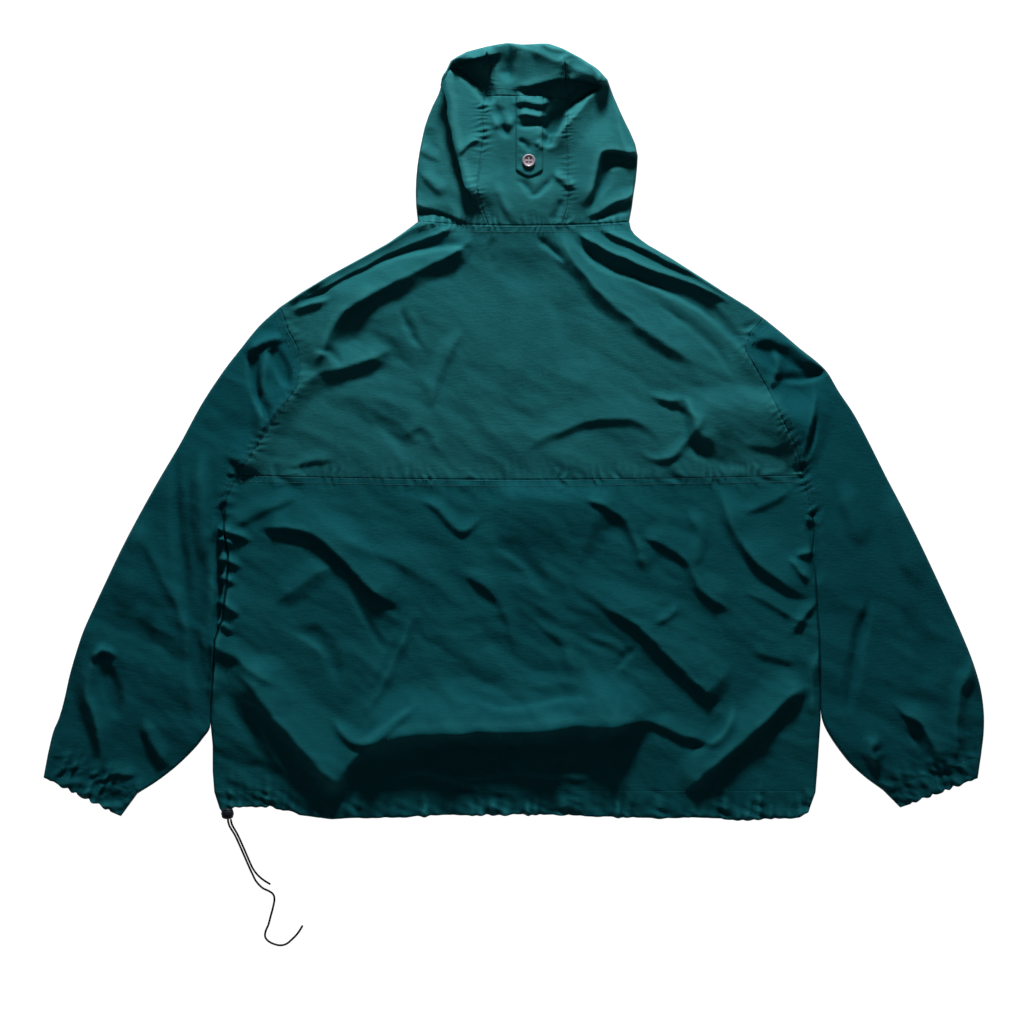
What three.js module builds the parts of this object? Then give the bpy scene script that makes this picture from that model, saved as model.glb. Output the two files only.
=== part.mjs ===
// Anorak smock, laid flat with its back up and its hood spread above the neck.
// Millimetres, +Z up. The cloth rests on z = 0. +X runs across the back towards the
// right cuff as seen from above, +Y runs from the hem up to the hood.

import * as THREE from 'three';

// Driving sizes
const WALL = 1.5;            // shell cloth with its seam allowance
const BAND_WALL = 2.2;       // doubled cloth of the hem tunnel and the cuffs
const EDGE = 3.5;            // radius of a soft folded edge, so two layers are 7 mm there
const SEAM_HALF = 0.2;       // each side of a seam line keeps this much clear
const SLEEVE_CLEAR = 1.6;    // from the body's side fold to the sleeve lying against it
const THICKEN_LIMIT = 1.7;   // most that a steep slope may lengthen a wall's offset
const FOLD_FADE = 0.28;      // share of a fold's length over which each end dies away

const HEM_SEAM_Y = -418;
const YOKE_SEAM_Y = -52;
const NECK_Y = 242;
const SEAM_SAG = 5;           // the yoke and neck seams dip this much at mid back
const ARMPIT_Y = -98;
const SHOULDER_TIP_Y = { left: 143, right: 130 };
const THROAT = { x: 10.5, y: 193 };   // lowest point of the front neck and face opening
const FACE_HALF_WIDTH = 38;
const FACE_WIDENS = 60;
const FACE_TOP_Y = 396;

const TEAL = '#1d555a';
const TEAL_LOW = '#174a4d';
const BUTTON_COLOUR = '#b9b0b4';
const CORD_COLOUR = '#0d1114';

const radians = THREE.MathUtils.degToRad;
const mix = THREE.MathUtils.lerp;
const clamp = THREE.MathUtils.clamp;
const smooth = (t) => THREE.MathUtils.smoothstep(t, 0, 1);
const UP = new THREE.Vector3(0, 0, 1);

// A table's rows become objects that carry the column names.
function table(columns, rows) {
  const names = columns.split(' ');
  return rows.map((row) => Object.fromEntries(names.map((name, n) => [name, row[n]])));
}

// Straight-line reading of one column of a table against another that rises.
function read(rows, key, wanted, column) {
  let n = 1;
  while (n < rows.length - 1 && rows[n][key] < wanted) n += 1;
  const low = rows[n - 1];
  const high = rows[n];
  const share = clamp((wanted - low[key]) / (high[key] - low[key]), 0, 1);
  return mix(low[column], high[column], share);
}

// The body from hem to neck: where its left and right edges lie. From the armpit to the
// shoulder tip these are the armhole seams, elsewhere they are folded edges.
const BODY = table('y left right', [
  [-447, -342, 341],
  [-420, -348, 349],
  [-395, -350, 351],
  [-365, -350, 353],
  [-335, -353, 355],
  [-305, -352, 355],
  [-275, -349, 354.5],
  [-245, -348, 354],
  [-220, -339, 352],
  [-195, -336, 351],
  [-170, -333, 349],
  [-145, -332, 345],
  [-120, -337, 347.5],
  [-98, -338, 346],
  [-80, -334, 341],
  [-52, -320, 334],
  [-20, -300, 325],
  [20, -273, 306.5],
  [50, -252, 292],
  [72, -248, 279],
  [95, -251, 266],
  [115, -261.5, 274.5],
  [130, -267, 289],
  [143, -272, 271],
  [160, -247, 243.5],
  [180, -214, 212.5],
  [200, -177, 181],
  [217, -146.5, 151.5],
  [230, -128, 136],
  [242, -112, 133],
]);

// The hem's lower edge, which the drawcord pulls up at the left corner.
const HEM_EDGE = table('x y', [
  [-342, -437], [-325, -437], [-283, -437.5], [-250, -447], [-212, -452], [-125, -448],
  [0, -445.5], [100, -448], [200, -450], [250, -451.5], [300, -449], [325, -448], [341, -440],
]);

// Gathers along the hem: how many waves between two places, and how deep.
const HEM_GATHERS = table('from to waves depth', [
  [-335, -250, 6, 2.4],
  [-250, -110, 7, 1.3],
  [-110, 110, 14, 2.2],
  [110, 255, 7, 1.3],
  [255, 335, 5, 2.6],
]);

// Sleeve sections from armhole to cuff: the outer edge, and the inner edge. Where inner x
// is null the sleeve lies against the body's side.
const SLEEVES = {
  left: table('outerX outerY innerX innerY', [
    [-272, 143, null, -98], [-296, 121, null, -100], [-318, 94, null, -103],
    [-338, 68, null, -108], [-363, 30, null, -120], [-388, -16, null, -132],
    [-411, -55, null, -145], [-434, -96, null, -170], [-456, -138, null, -195],
    [-475, -178, null, -220], [-488, -206, null, -245], [-500, -233, null, -275],
    [-509, -260, null, -305], [-516, -285, null, -335], [-522, -312, -362, -358],
    [-528, -333, -386, -384], [-535, -350, -412, -405], [-541, -375, -437, -421],
  ]),
  right: table('outerX outerY innerX innerY', [
    [289, 130, null, -98], [310, 113, null, -100], [331, 95, null, -103],
    [350, 80, null, -107], [363, 67, null, -112], [376, 45, null, -120],
    [394, 18, null, -132], [412, -16, null, -145], [431, -54, null, -170],
    [450, -90, null, -195], [469, -128, null, -215], [487, -166, null, -235],
    [504, -203, null, -255], [519, -237, null, -275], [531, -267, null, -305],
    [540, -297, 358, -340], [544, -325, 382, -378], [544, -350, 404, -400],
    [541, -376, 427, -417],
  ]),
};

// Cuff bands from the sleeve seam to the hand opening, and the gathers of each.
const CUFFS = {
  left: table('outerX outerY innerX innerY gather', [
    [-541, -375, -437, -421, 0.4], [-546, -402, -456, -447, 1],
  ]),
  right: table('outerX outerY innerX innerY gather', [
    [541, -376, 427, -417, 0.4], [537, -403, 447, -437, 1],
  ]),
};
const CUFF_GATHERS = 8;
const CUFF_GATHER_DEPTH = 2.4;

// Hood sections from neck to crown: the two seams beside the centre panel, and where each
// side panel turns over the outline.
const HOOD = table('leftX leftY leftEdgeX leftEdgeY rightX rightY rightEdgeX rightEdgeY', [
  [-30, 237.6, -112, 242, 55, 237.6, 133, 241],
  [-38, 258, -114, 260, 61, 258, 136, 258],
  [-42, 274, -114.5, 276, 62, 274, 138, 273],
  [-43, 288, -114, 292, 62, 288, 140.5, 289],
  [-41, 302, -112.5, 308, 61.5, 302, 142, 303],
  [-39, 318, -110, 324, 61, 318, 143, 318],
  [-36, 334, -107, 339, 60, 334, 140, 332],
  [-36, 348, -104, 352, 60, 347, 134, 346],
  [-37, 360, -100, 364, 60.5, 359, 128, 358],
  [-36, 372, -95, 376, 61, 371, 122, 371],
  [-34, 387.5, -88, 390, 62, 384.5, 115, 387],
  [-29, 405, -81, 413, 60, 401, 108, 406],
  [-27, 419, -74, 428, 58.5, 415, 97, 418],
  [-29, 430, -56, 438, 57.5, 426, 77, 431],
  [-32, 437, -32.5, 444.5, 57, 433, 57, 441.5],
]);
const CROSS_SEAM_ROW = 10;

// Top outline of the crown between the two seams.
const CROWN_TOP = table('x y', [[-32.5, 444.5], [-20, 447], [-8, 449], [8, 447], [40, 448], [57, 441.5]]);

const TAB = { left: 1.5, middle: 17.3, right: 33, cornerY: 300.5, tipY: 293, wall: 2, clear: 0.5 };
const TAB_LOW_ROW = 4;
const BUTTON = { x: 16.5, y: 311.5, radius: 7.6, thickness: 2.4, hole: 0.9, holeSpacing: 1.7, clear: 0.4 };
const STOPPER = { x: -332.6, y: -443.9, z: 5.9, radius: 7.3, halfLength: 6.8, flatten: 0.79 };
const CORD_RADIUS = 1.2;
const CORD_SIDES = 8;
const CORD_STEP = 6.5;

// Broad swellings where air lies between the two layers, then the folds. A ridge runs from
// (x0, y0) to (x1, y1) and bows to its left. left and right are its flanks' widths.
const RIDGE_COLUMNS = 'name x0 y0 x1 y1 bow height left right';
const SWELLINGS = table(RIDGE_COLUMNS, [
  ['body', 0, -640, 5, 330, 0, 4, 330, 330],
  ['left sleeve', -290, 160, -480, -470, 0, 2, 85, 85],
  ['right sleeve', 300, 150, 470, -480, 0, 2, 85, 85],
  ['hood', 12, 170, 14, 520, 0, 12, 118, 118],
]);
const FOLDS = table(RIDGE_COLUMNS, [
  ['left shoulder upper', -70, 236, -270, 140, -13, 6, 14, 12],
  ['left shoulder main', -55, 218, -232, 120, -19, 15, 32, 15],
  ['left armhole roll', -180, 80, -306, -30, -20, 14, 32, 15],
  ['left sleeve head', -283, 100, -292, -8, 0, 7, 12, 12],
  ['right shoulder inner', 45, 234, 228, 78, -6, 13, 18, 28],
  ['right shoulder outer', 95, 192, 300, 36, 26, 14, 17, 20],
  ['right shoulder upper', 70, 228, 258, 148, 3, 8, 13, 15],
  ['right sleeve head', 262, 92, 370, 64, 20, 10, 15, 24],
  ['yoke right ripple', 30, -30, 172, -2, 20, 8, 16, 16],
  ['back left drag', -300, -106, -128, -204, 22, 10, 30, 17],
  ['back right drag', 242, -52, 352, -206, -22, 9, 22, 15],
  ['back middle drag', 66, -170, 236, -318, 2, 9, 22, 17],
  ['back upper drag', 78, -74, 162, -166, 0, 7, 15, 12],
  ['back left crease', -112, -208, -184, -338, 0, 7, 16, 16],
  ['left hem fold', -356, -240, -186, -430, 16, 20, 36, 42],
  ['right hem fold', 346, -290, 182, -434, -4, 18, 34, 30],
  ['bottom fold', -196, -372, 172, -338, 14, 26, 46, 66],
  ['left sleeve inner roll', -360, -10, -352, -330, -6, 5, 12, 16],
  ['left cuff fold', -486, -252, -470, -400, -6, 7, 14, 16],
  ['right cuff fold', 436, -312, 504, -402, 18, 8, 17, 14],
  ['right outer roll', 534, -250, 512, -396, -8, 6, 13, 12],
  ['crown roll', -98, 418, 122, 402, 22, 24, 18, 24],
  ['hood left ridge', -82, 440, -34, 240, -9, 11, 32, 14],
  ['hood right corner', 156, 322, 76, 248, -35, 11, 20, 32],
  ['hood centre tuck', -28, 374, 72, 372, 0, 9, 14, 13],
  ['neck left tuck', -118, 258, -52, 246, 0, 6, 14, 9],
  ['neck right tuck', 76, 246, 142, 272, 0, 6, 16, 10],
]);

// Height of one ridge over a point: a cosine bell across it, fading out at both ends.
function ridgeHeight(ridge, x, y) {
  const dx = ridge.x1 - ridge.x0;
  const dy = ridge.y1 - ridge.y0;
  const span = Math.hypot(dx, dy);
  const along = ((x - ridge.x0) * dx + (y - ridge.y0) * dy) / (span * span);
  if (along <= 0 || along >= 1) return 0;
  const bowed = 4 * ridge.bow * along * (1 - along);
  const aside = (dx * (y - ridge.y0) - dy * (x - ridge.x0)) / span - bowed;
  const reach = Math.abs(aside) / (aside > 0 ? ridge.left : ridge.right);
  if (reach >= 1) return 0;
  const fade = smooth(Math.min(along, 1 - along) / FOLD_FADE);
  return ridge.height * fade * Math.cos((reach * Math.PI) / 2) ** 2;
}

// Height of the upper layer's outer face over the floor.
function clothHeight(x, y) {
  const ridges = [...SWELLINGS, ...FOLDS];
  return ridges.reduce((height, ridge) => height + ridgeHeight(ridge, x, y), 2 * EDGE);
}

// The neck seam's curve, which dips at mid back.
function neckLine(x) {
  const { left, right } = BODY.at(-1);
  const reach = (2 * x - left - right) / (right - left);
  return NECK_Y - SEAM_SAG * (1 - reach ** 2);
}

// The front neck is a shallow V that drops from the back neck's ends to the throat.
function frontNeckDrop(x) {
  const reach = x < THROAT.x ? THROAT.x - BODY.at(-1).left : BODY.at(-1).right - THROAT.x;
  const share = clamp(1 - Math.abs(x - THROAT.x) / reach, 0, 1);
  return share * (neckLine(THROAT.x) - THROAT.y);
}

// Half width of the face opening at a height on the hood's underside.
function faceHalfWidth(y) {
  const share = clamp((y - THROAT.y) / FACE_WIDENS, 0, 1);
  return FACE_HALF_WIDTH * Math.sqrt(1 - (1 - share) ** 2);
}

// A section's plan line from one end to the other. An end that is 'folded' or 'sewn' gets
// the three places of a quarter turn, and rise tells how far up the turn each point is: a
// sewn end is already at full height.
function planLine(points, turns) {
  const line = points.map(([x, y]) => ({ x, y, rise: 1 }));
  const turned = (end, next, kind) => {
    const length = Math.hypot(next.x - end.x, next.y - end.y);
    return [0, 45, 90].map((angle) => {
      const step = (EDGE * (1 - Math.cos(radians(angle)))) / length;
      const rise = kind === 'folded' ? Math.sin(radians(angle)) : 1;
      return { x: mix(end.x, next.x, step), y: mix(end.y, next.y, step), rise };
    });
  };
  if (turns.end) line.splice(-1, 1, ...turned(line.at(-1), line.at(-2), turns.end).reverse());
  if (turns.start) line.splice(0, 1, ...turned(line[0], line[1], turns.start));
  line.forEach((spot, n) => {
    const before = line[Math.max(0, n - 1)];
    const after = line[Math.min(line.length - 1, n + 1)];
    const length = Math.hypot(after.x - before.x, after.y - before.y);
    spot.tangent = new THREE.Vector3((after.x - before.x) / length, (after.y - before.y) / length, 0);
  });
  return line;
}

// A grid vertex: its outer point, and the directions that its inner point may not take.
function vertex(spot, z, barred = []) {
  const across = new THREE.Vector3(-spot.tangent.y, spot.tangent.x, 0);
  return { point: new THREE.Vector3(spot.x, spot.y, z), barred: [across, ...barred] };
}

// The directions barred at a row's ends, so a folded end's rim stays level and a sewn end's
// upright.
function endBars(line, n, turns) {
  if (n > 0 && n < line.length - 1) return [];
  const kind = n ? turns.end : turns.start;
  return [kind === 'folded' ? UP : line[n].tangent];
}

// Upper layer over a plan line. A folded end stops just above half height, and a seam end
// stops at full height with an upright face.
function upperRow(line, turns, height = clothHeight) {
  const middle = EDGE + SEAM_HALF;
  return line.map((spot, n) => {
    const top = height(spot.x, spot.y);
    return vertex(spot, mix(middle, top, spot.rise), endBars(line, n, turns));
  });
}

// Lower layer under a plan line, listed the other way round so that it faces down.
function lowerRow(line, turns) {
  const middle = EDGE - SEAM_HALF;
  const row = line.map((spot, n) => vertex(spot, mix(middle, 0, spot.rise), endBars(line, n, turns)));
  return row.reverse();
}

// Both layers over a plan line as one closed ring.
function ringRow(line, height = clothHeight) {
  const top = line.map((spot) => vertex(spot, mix(EDGE, height(spot.x, spot.y), spot.rise)));
  const bottom = line.slice(1, -1).map((spot) => vertex(spot, mix(EDGE, 0, spot.rise)));
  return [...top, ...bottom.reverse()];
}

// Unit normal of a grid at one vertex, from its neighbours along and across the rows.
function gridNormal(grid, i, j, closed) {
  const count = grid[0].length;
  const column = (n) => (closed ? (n + count) % count : clamp(n, 0, count - 1));
  const row = (n) => clamp(n, 0, grid.length - 1);
  const along = grid[i][column(j + 1)].point.clone().sub(grid[i][column(j - 1)].point);
  const upwards = grid[row(i + 1)][j].point.clone().sub(grid[row(i - 1)][j].point);
  return along.cross(upwards).normalize();
}

// The inner point of a vertex: the wall's thickness in along the normal, less the barred
// directions, and longer by as much as that slant makes the wall thinner.
function innerPoint(grid, i, j, closed, thickness) {
  const { point, barred } = grid[i][j];
  const normal = gridNormal(grid, i, j, closed);
  const way = normal.clone();
  barred.forEach((bar) => way.addScaledVector(bar, -way.dot(bar)));
  way.normalize();
  const length = thickness * Math.min(THICKEN_LIMIT, 1 / normal.dot(way));
  return point.clone().addScaledVector(way, -length);
}

// A closed wall: the outer grid, its inner copy, and the rims that join them.
function wall(name, grid, { closed = false, thickness = WALL, colour = TEAL } = {}) {
  const rows = grid.length;
  const columns = grid[0].length;
  const outer = grid.flat().map(({ point }) => point);
  const inner = grid.flatMap((row, i) => row.map((_, j) => innerPoint(grid, i, j, closed, thickness)));
  const index = [];
  const quad = (a, b, c, d) => index.push(a, b, c, a, c, d);
  const at = (i, j) => i * columns + (j % columns);
  const under = (n) => n + outer.length;
  const lastCell = closed ? columns : columns - 1;
  for (let i = 0; i < rows - 1; i += 1) {
    for (let j = 0; j < lastCell; j += 1) {
      const cell = [at(i, j), at(i, j + 1), at(i + 1, j + 1), at(i + 1, j)];
      quad(...cell);
      quad(...cell.map(under).reverse());
    }
  }
  const rim = (from, to) => quad(to, from, under(from), under(to));
  for (let j = 0; j < lastCell; j += 1) {
    rim(at(0, j), at(0, j + 1));
    rim(at(rows - 1, j + 1), at(rows - 1, j));
  }
  for (let i = 0; i < rows - 1 && !closed; i += 1) {
    rim(at(i, columns - 1), at(i + 1, columns - 1));
    rim(at(i + 1, 0), at(i, 0));
  }
  const geometry = new THREE.BufferGeometry().setFromPoints([...outer, ...inner]);
  geometry.setIndex(index);
  return mesh(name, geometry, colour, 0.62);
}

function mesh(name, geometry, colour, roughness, metalness = 0) {
  geometry.computeVertexNormals();
  const material = new THREE.MeshStandardMaterial({ color: colour, roughness, metalness });
  const made = new THREE.Mesh(geometry, material);
  made.name = name;
  return made;
}

const isArmhole = (side, y) => y > ARMPIT_Y + 0.01 && y < SHOULDER_TIP_Y[side] - 0.01;
const inArmholeReach = (side, y) => y > ARMPIT_Y - 0.01 && y < SHOULDER_TIP_Y[side] + 0.01;

// The plan line of a body row, in equal cells between its two ends. y(x, reach) gives its
// curve, where reach runs from -1 at the left end to 1 at the right one.
function bodyLine(level, curve, cells) {
  const ends = ['left', 'right'].map((side) => {
    const inward = side === 'left' ? SEAM_HALF : -SEAM_HALF;
    return read(BODY, 'y', level, side) + (inArmholeReach(side, level) ? inward : 0);
  });
  const kind = (side) => (isArmhole(side, level) ? 'sewn' : 'folded');
  const turns = { start: kind('left'), end: kind('right') };
  const points = Array.from({ length: cells + 1 }, (_, n) => {
    const x = mix(...ends, n / cells);
    return [x, curve(x, (2 * n) / cells - 1)];
  });
  return { line: planLine(points, turns), turns };
}

const sag = (reach) => SEAM_SAG * (1 - reach ** 2);
const YOKE_LEVELS = [-52, -36, -20, 0, 20, 35, 50, 61, 72, 83, 95, 105, 115, 130, 143, 160, 180, 200,
  217, 230, 242];
const LOWER_LEVELS = [-418, -400, -382, -365, -350, -335, -320, -305, -290, -275, -260, -245, -228,
  -212, -195, -178, -162, -145, -132, -120, -98, -80, -66, -52];
const BACK_CELLS = 26;
const FRONT_CELLS = 4;

// Back yoke, from the yoke seam to the back neck. All its rows dip at mid back as they do.
function backYoke() {
  const rows = YOKE_LEVELS.map((level) => {
    const clear = level === YOKE_SEAM_Y ? SEAM_HALF : level === NECK_Y ? -SEAM_HALF : 0;
    const { line, turns } = bodyLine(level, (x, reach) => level + clear - sag(reach), BACK_CELLS);
    return upperRow(line, turns);
  });
  return wall('back_yoke', rows);
}

// Lower back, from the hem seam to the yoke seam.
function backLower() {
  const rows = LOWER_LEVELS.map((level) => {
    const share = (level - HEM_SEAM_Y) / (YOKE_SEAM_Y - HEM_SEAM_Y);
    const clear = level === HEM_SEAM_Y ? SEAM_HALF : level === YOKE_SEAM_Y ? -SEAM_HALF : 0;
    const curve = (x, reach) => level + clear - share ** 2 * sag(reach);
    const { line, turns } = bodyLine(level, curve, BACK_CELLS);
    return upperRow(line, turns);
  });
  return wall('back_lower', rows, { colour: TEAL_LOW });
}

// Front, one panel from the hem seam to the V of the front neck, flat on the floor.
function frontPanel() {
  const levels = [HEM_SEAM_Y, ...BODY.map((row) => row.y).filter((y) => y > HEM_SEAM_Y + 5)];
  const rows = levels.map((level) => {
    const share = clamp((level - ARMPIT_Y) / (NECK_Y - ARMPIT_Y), 0, 1);
    const clear = level === HEM_SEAM_Y ? SEAM_HALF : level === NECK_Y ? -SEAM_HALF : 0;
    const curve = (x, reach) => level + clear - share * sag(reach) - share ** 2 * frontNeckDrop(x);
    const { line, turns } = bodyLine(level, curve, FRONT_CELLS);
    return lowerRow(line, turns);
  });
  return wall('front_panel', rows, { colour: TEAL_LOW });
}

// Depth of the hem's gathers at a place along it.
function hemGather(x) {
  const run = HEM_GATHERS.find(({ from, to }) => x >= from && x < to);
  if (!run) return 0;
  const waves = ((x - run.from) / (run.to - run.from)) * run.waves;
  return run.depth * Math.sin(Math.PI * waves) ** 2;
}

// One plan line of a hem band, at a share of the way from the lower edge to the hem seam.
function hemLine(share, cells, lift) {
  const curve = (x) => mix(read(HEM_EDGE, 'x', x, 'y') + lift, HEM_SEAM_Y - SEAM_HALF, share);
  const level = mix(BODY[0].y, HEM_SEAM_Y, share);
  return bodyLine(level, curve, cells);
}

// Back and front halves of the hem tunnel. The back one is gathered by its drawcord.
function hemBands() {
  const gathered = [0, 1].map((share) => {
    const depth = share === 1 ? 0.35 : 1;
    const { line, turns } = hemLine(share, 156, 0);
    return upperRow(line, turns, (x, y) => clothHeight(x, y) + depth * hemGather(x));
  });
  const flat = [0, 1].map((share) => {
    const { line, turns } = hemLine(share, 24, 1.5);
    return lowerRow(line, turns);
  });
  return [
    wall('hem_band_back', gathered, { thickness: BAND_WALL, colour: TEAL_LOW }),
    wall('hem_band_front', flat, { thickness: BAND_WALL, colour: TEAL_LOW }),
  ];
}

// The armhole's corners from the shoulder tip down to the armpit, just outside the body.
function armhole(side) {
  const outward = side === 'left' ? -SEAM_HALF : SEAM_HALF;
  const corners = BODY.filter(({ y }) => inArmholeReach(side, y));
  return corners.reverse().map((row) => new THREE.Vector2(row[side] + outward, row.y));
}

// A sleeve: rings from the armhole to the cuff seam. The first ring follows the armhole,
// and that bend has gone by the seventh.
function sleeve(side) {
  const seam = armhole(side);
  const away = side === 'left' ? -1 : 1;
  const steps = seam.map((corner, n) => (n ? corner.distanceTo(seam[n - 1]) : 0));
  const whole = steps.reduce((sum, step) => sum + step, 0);
  const shares = steps.map((_, n) => steps.slice(0, n + 1).reduce((sum, step) => sum + step, 0) / whole);
  const rings = SLEEVES[side].map((row, n, rows) => {
    const clear = n === rows.length - 1 ? SEAM_HALF * 2 : 0;
    const lean = away * (n ? SLEEVE_CLEAR : SEAM_HALF);
    const outer = new THREE.Vector2(row.outerX + (n ? 0 : away * SEAM_HALF), row.outerY + clear);
    const innerX = row.innerX ?? read(BODY, 'y', row.innerY, side) + lean;
    const inner = new THREE.Vector2(innerX, row.innerY + clear);
    const bend = Math.max(0, 1 - n / 6) ** 1.5;
    const points = seam.map((corner, k) => {
      const straight = seam[0].clone().lerp(seam.at(-1), shares[k]);
      const spot = outer.clone().lerp(inner, shares[k]);
      return spot.addScaledVector(corner.clone().sub(straight), bend).toArray();
    });
    if (side === 'left') points.reverse();
    return ringRow(planLine(points, { start: 'folded', end: 'folded' }));
  });
  return wall(`sleeve_${side}`, rings, { closed: true, colour: TEAL_LOW });
}

// An elastic cuff: a short doubled ring with gathers round its upper side.
function cuff(side) {
  const cells = CUFF_GATHERS * 4;
  const rings = CUFFS[side].map((row, n) => {
    const clear = n === 0 ? -SEAM_HALF : 0;
    const points = Array.from({ length: cells + 1 }, (_, k) => [
      mix(row.outerX, row.innerX, k / cells),
      mix(row.outerY, row.innerY, k / cells) + clear,
    ]);
    if (side === 'left') points.reverse();
    const width = Math.abs(row.innerX - row.outerX);
    const gather = (x) => Math.sin((Math.PI * CUFF_GATHERS * Math.abs(x - row.outerX)) / width) ** 2;
    const height = (x, y) => clothHeight(x, y) + row.gather * CUFF_GATHER_DEPTH * gather(x);
    return ringRow(planLine(points, { start: 'folded', end: 'folded' }), height);
  });
  return wall(`cuff_${side}`, rings, { closed: true, thickness: BAND_WALL, colour: TEAL_LOW });
}

// One hood section: over the top from a seam to the outline, round the edge, and back
// underneath to the rim of the face opening.
function wrapRow(points, rim, underCells) {
  const line = planLine(points, { end: 'folded' });
  const top = line.map((spot, n) => {
    const barred = n === 0 ? [spot.tangent] : [];
    return vertex(spot, mix(EDGE, clothHeight(spot.x, spot.y), spot.rise), barred);
  });
  const [far, half] = [line.at(-3), line.at(-2)];
  const turned = [half, far].map((spot) => vertex(spot, mix(EDGE, 0, spot.rise)));
  const reach = new THREE.Vector3(rim[0] - far.x, rim[1] - far.y, 0);
  const tangent = reach.clone().normalize();
  const under = Array.from({ length: underCells }, (_, k) => {
    const share = (k + 1) / underCells;
    return vertex({ x: far.x + reach.x * share, y: far.y + reach.y * share, tangent }, 0);
  });
  return [...top, ...turned, ...under];
}

// Where a hood row ends at the face opening's rim.
function rimPoint(side, share) {
  const y = mix(THROAT.y + 2 * SEAM_HALF, FACE_TOP_Y, share);
  const away = side === 'left' ? -1 : 1;
  return [THROAT.x + away * (share ? faceHalfWidth(y) : SEAM_HALF), y];
}

// A side panel of the hood. Its rows fan from the centre seam out to the outline, and the
// last one lies along the crown's seam.
function hoodSide(side) {
  const away = side === 'left' ? -SEAM_HALF : SEAM_HALF;
  const cells = 5;
  const last = HOOD.length - 1;
  const rows = HOOD.map((row, k) => {
    const start = [row[`${side}X`] + away, row[`${side}Y`]];
    const end = [row[`${side}EdgeX`] + (k === last ? away : 0), row[`${side}EdgeY`]];
    const points = Array.from({ length: cells + 1 }, (_, n) => {
      const x = mix(start[0], end[0], n / cells);
      const y = k ? mix(start[1], end[1], n / cells) : neckLine(x) + SEAM_HALF;
      return [x, y];
    });
    const rim = rimPoint(side, k / last);
    if (k === last) rim[0] += away;
    return wrapRow(points, rim, 3);
  });
  return wall(`hood_side_${side}`, side === 'left' ? rows.reverse() : rows);
}

// The x of a hood centre row's columns: the seams, the tab's three lines and halves between.
function centreColumns(left, right) {
  return [left, mix(left, TAB.left, 0.5), TAB.left, TAB.middle, TAB.right, mix(TAB.right, right, 0.5), right];
}

// Plan points of a hood centre row.
function centreRow(k) {
  const row = HOOD[k];
  const columns = centreColumns(row.leftX + SEAM_HALF, row.rightX - SEAM_HALF);
  return columns.map((x) => {
    const share = (x - row.leftX) / (row.rightX - row.leftX);
    const clear = k === CROSS_SEAM_ROW ? -SEAM_HALF : 0;
    return [x, k ? mix(row.leftY, row.rightY, share) + clear : neckLine(x) + SEAM_HALF];
  });
}

// Centre panel of the hood, from the neck to the cross seam.
function hoodCentre() {
  const rows = HOOD.slice(0, CROSS_SEAM_ROW + 1).map((_, k) => upperRow(planLine(centreRow(k), {}), {}));
  return wall('hood_centre', rows);
}

// Crown of the hood, from the cross seam over the top edge and under to the face opening.
function hoodCrown() {
  const cells = 6;
  const rows = Array.from({ length: cells + 1 }, (_, n) => {
    const share = n / cells;
    const inset = n === 0 ? SEAM_HALF : n === cells ? -SEAM_HALF : 0;
    const points = HOOD.slice(CROSS_SEAM_ROW).map((row, k) => [
      mix(row.leftX, row.rightX, share) + inset,
      mix(row.leftY, row.rightY, share) + (k ? 0 : SEAM_HALF),
    ]);
    const last = HOOD.at(-1);
    const topX = mix(last.leftEdgeX, last.rightEdgeX, share);
    points.push([topX + inset, read(CROWN_TOP, 'x', topX, 'y')]);
    const rimX = mix(THROAT.x - FACE_HALF_WIDTH, THROAT.x + FACE_HALF_WIDTH, share) + inset;
    return wrapRow(points, [rimX, FACE_TOP_Y + 24 * share * (1 - share)], 2);
  });
  return wall('hood_crown', rows.reverse());
}

// Adjuster tab, laid on the centre panel from the cross seam to its pointed end. Each of
// its points is a point of the panel, moved up.
function hoodTab() {
  const lift = TAB.clear + TAB.wall;
  const columns = [TAB.left, TAB.middle, TAB.right];
  const panelRows = HOOD.slice(TAB_LOW_ROW, CROSS_SEAM_ROW + 1).map((_, n) => centreRow(n + TAB_LOW_ROW));
  const rows = panelRows.map((points) => points.slice(2, 5));
  const end = [[TAB.left + 1, TAB.cornerY], [TAB.middle, TAB.tipY], [TAB.right - 1, TAB.cornerY]];
  const [below, above] = [centreRow(TAB_LOW_ROW - 1), centreRow(TAB_LOW_ROW)];
  const onPanel = ([x, y], n) => {
    const low = below[n + 2];
    const high = above[n + 2];
    const share = (y - low[1]) / (high[1] - low[1]);
    return [x, y, mix(clothHeight(columns[n], low[1]), clothHeight(columns[n], high[1]), share) + lift];
  };
  const placed = [
    end.map(onPanel),
    ...rows.map((row) => row.map(([x, y]) => [x, y, clothHeight(x, y) + lift])),
  ];
  const grid = placed.map((row) => row.map(([x, y, z]) => ({
    point: new THREE.Vector3(x, y, z),
    barred: [new THREE.Vector3(1, 0, 0), new THREE.Vector3(0, 1, 0)],
  })));
  return wall('hood_tab', grid, { thickness: TAB.wall });
}

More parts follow.
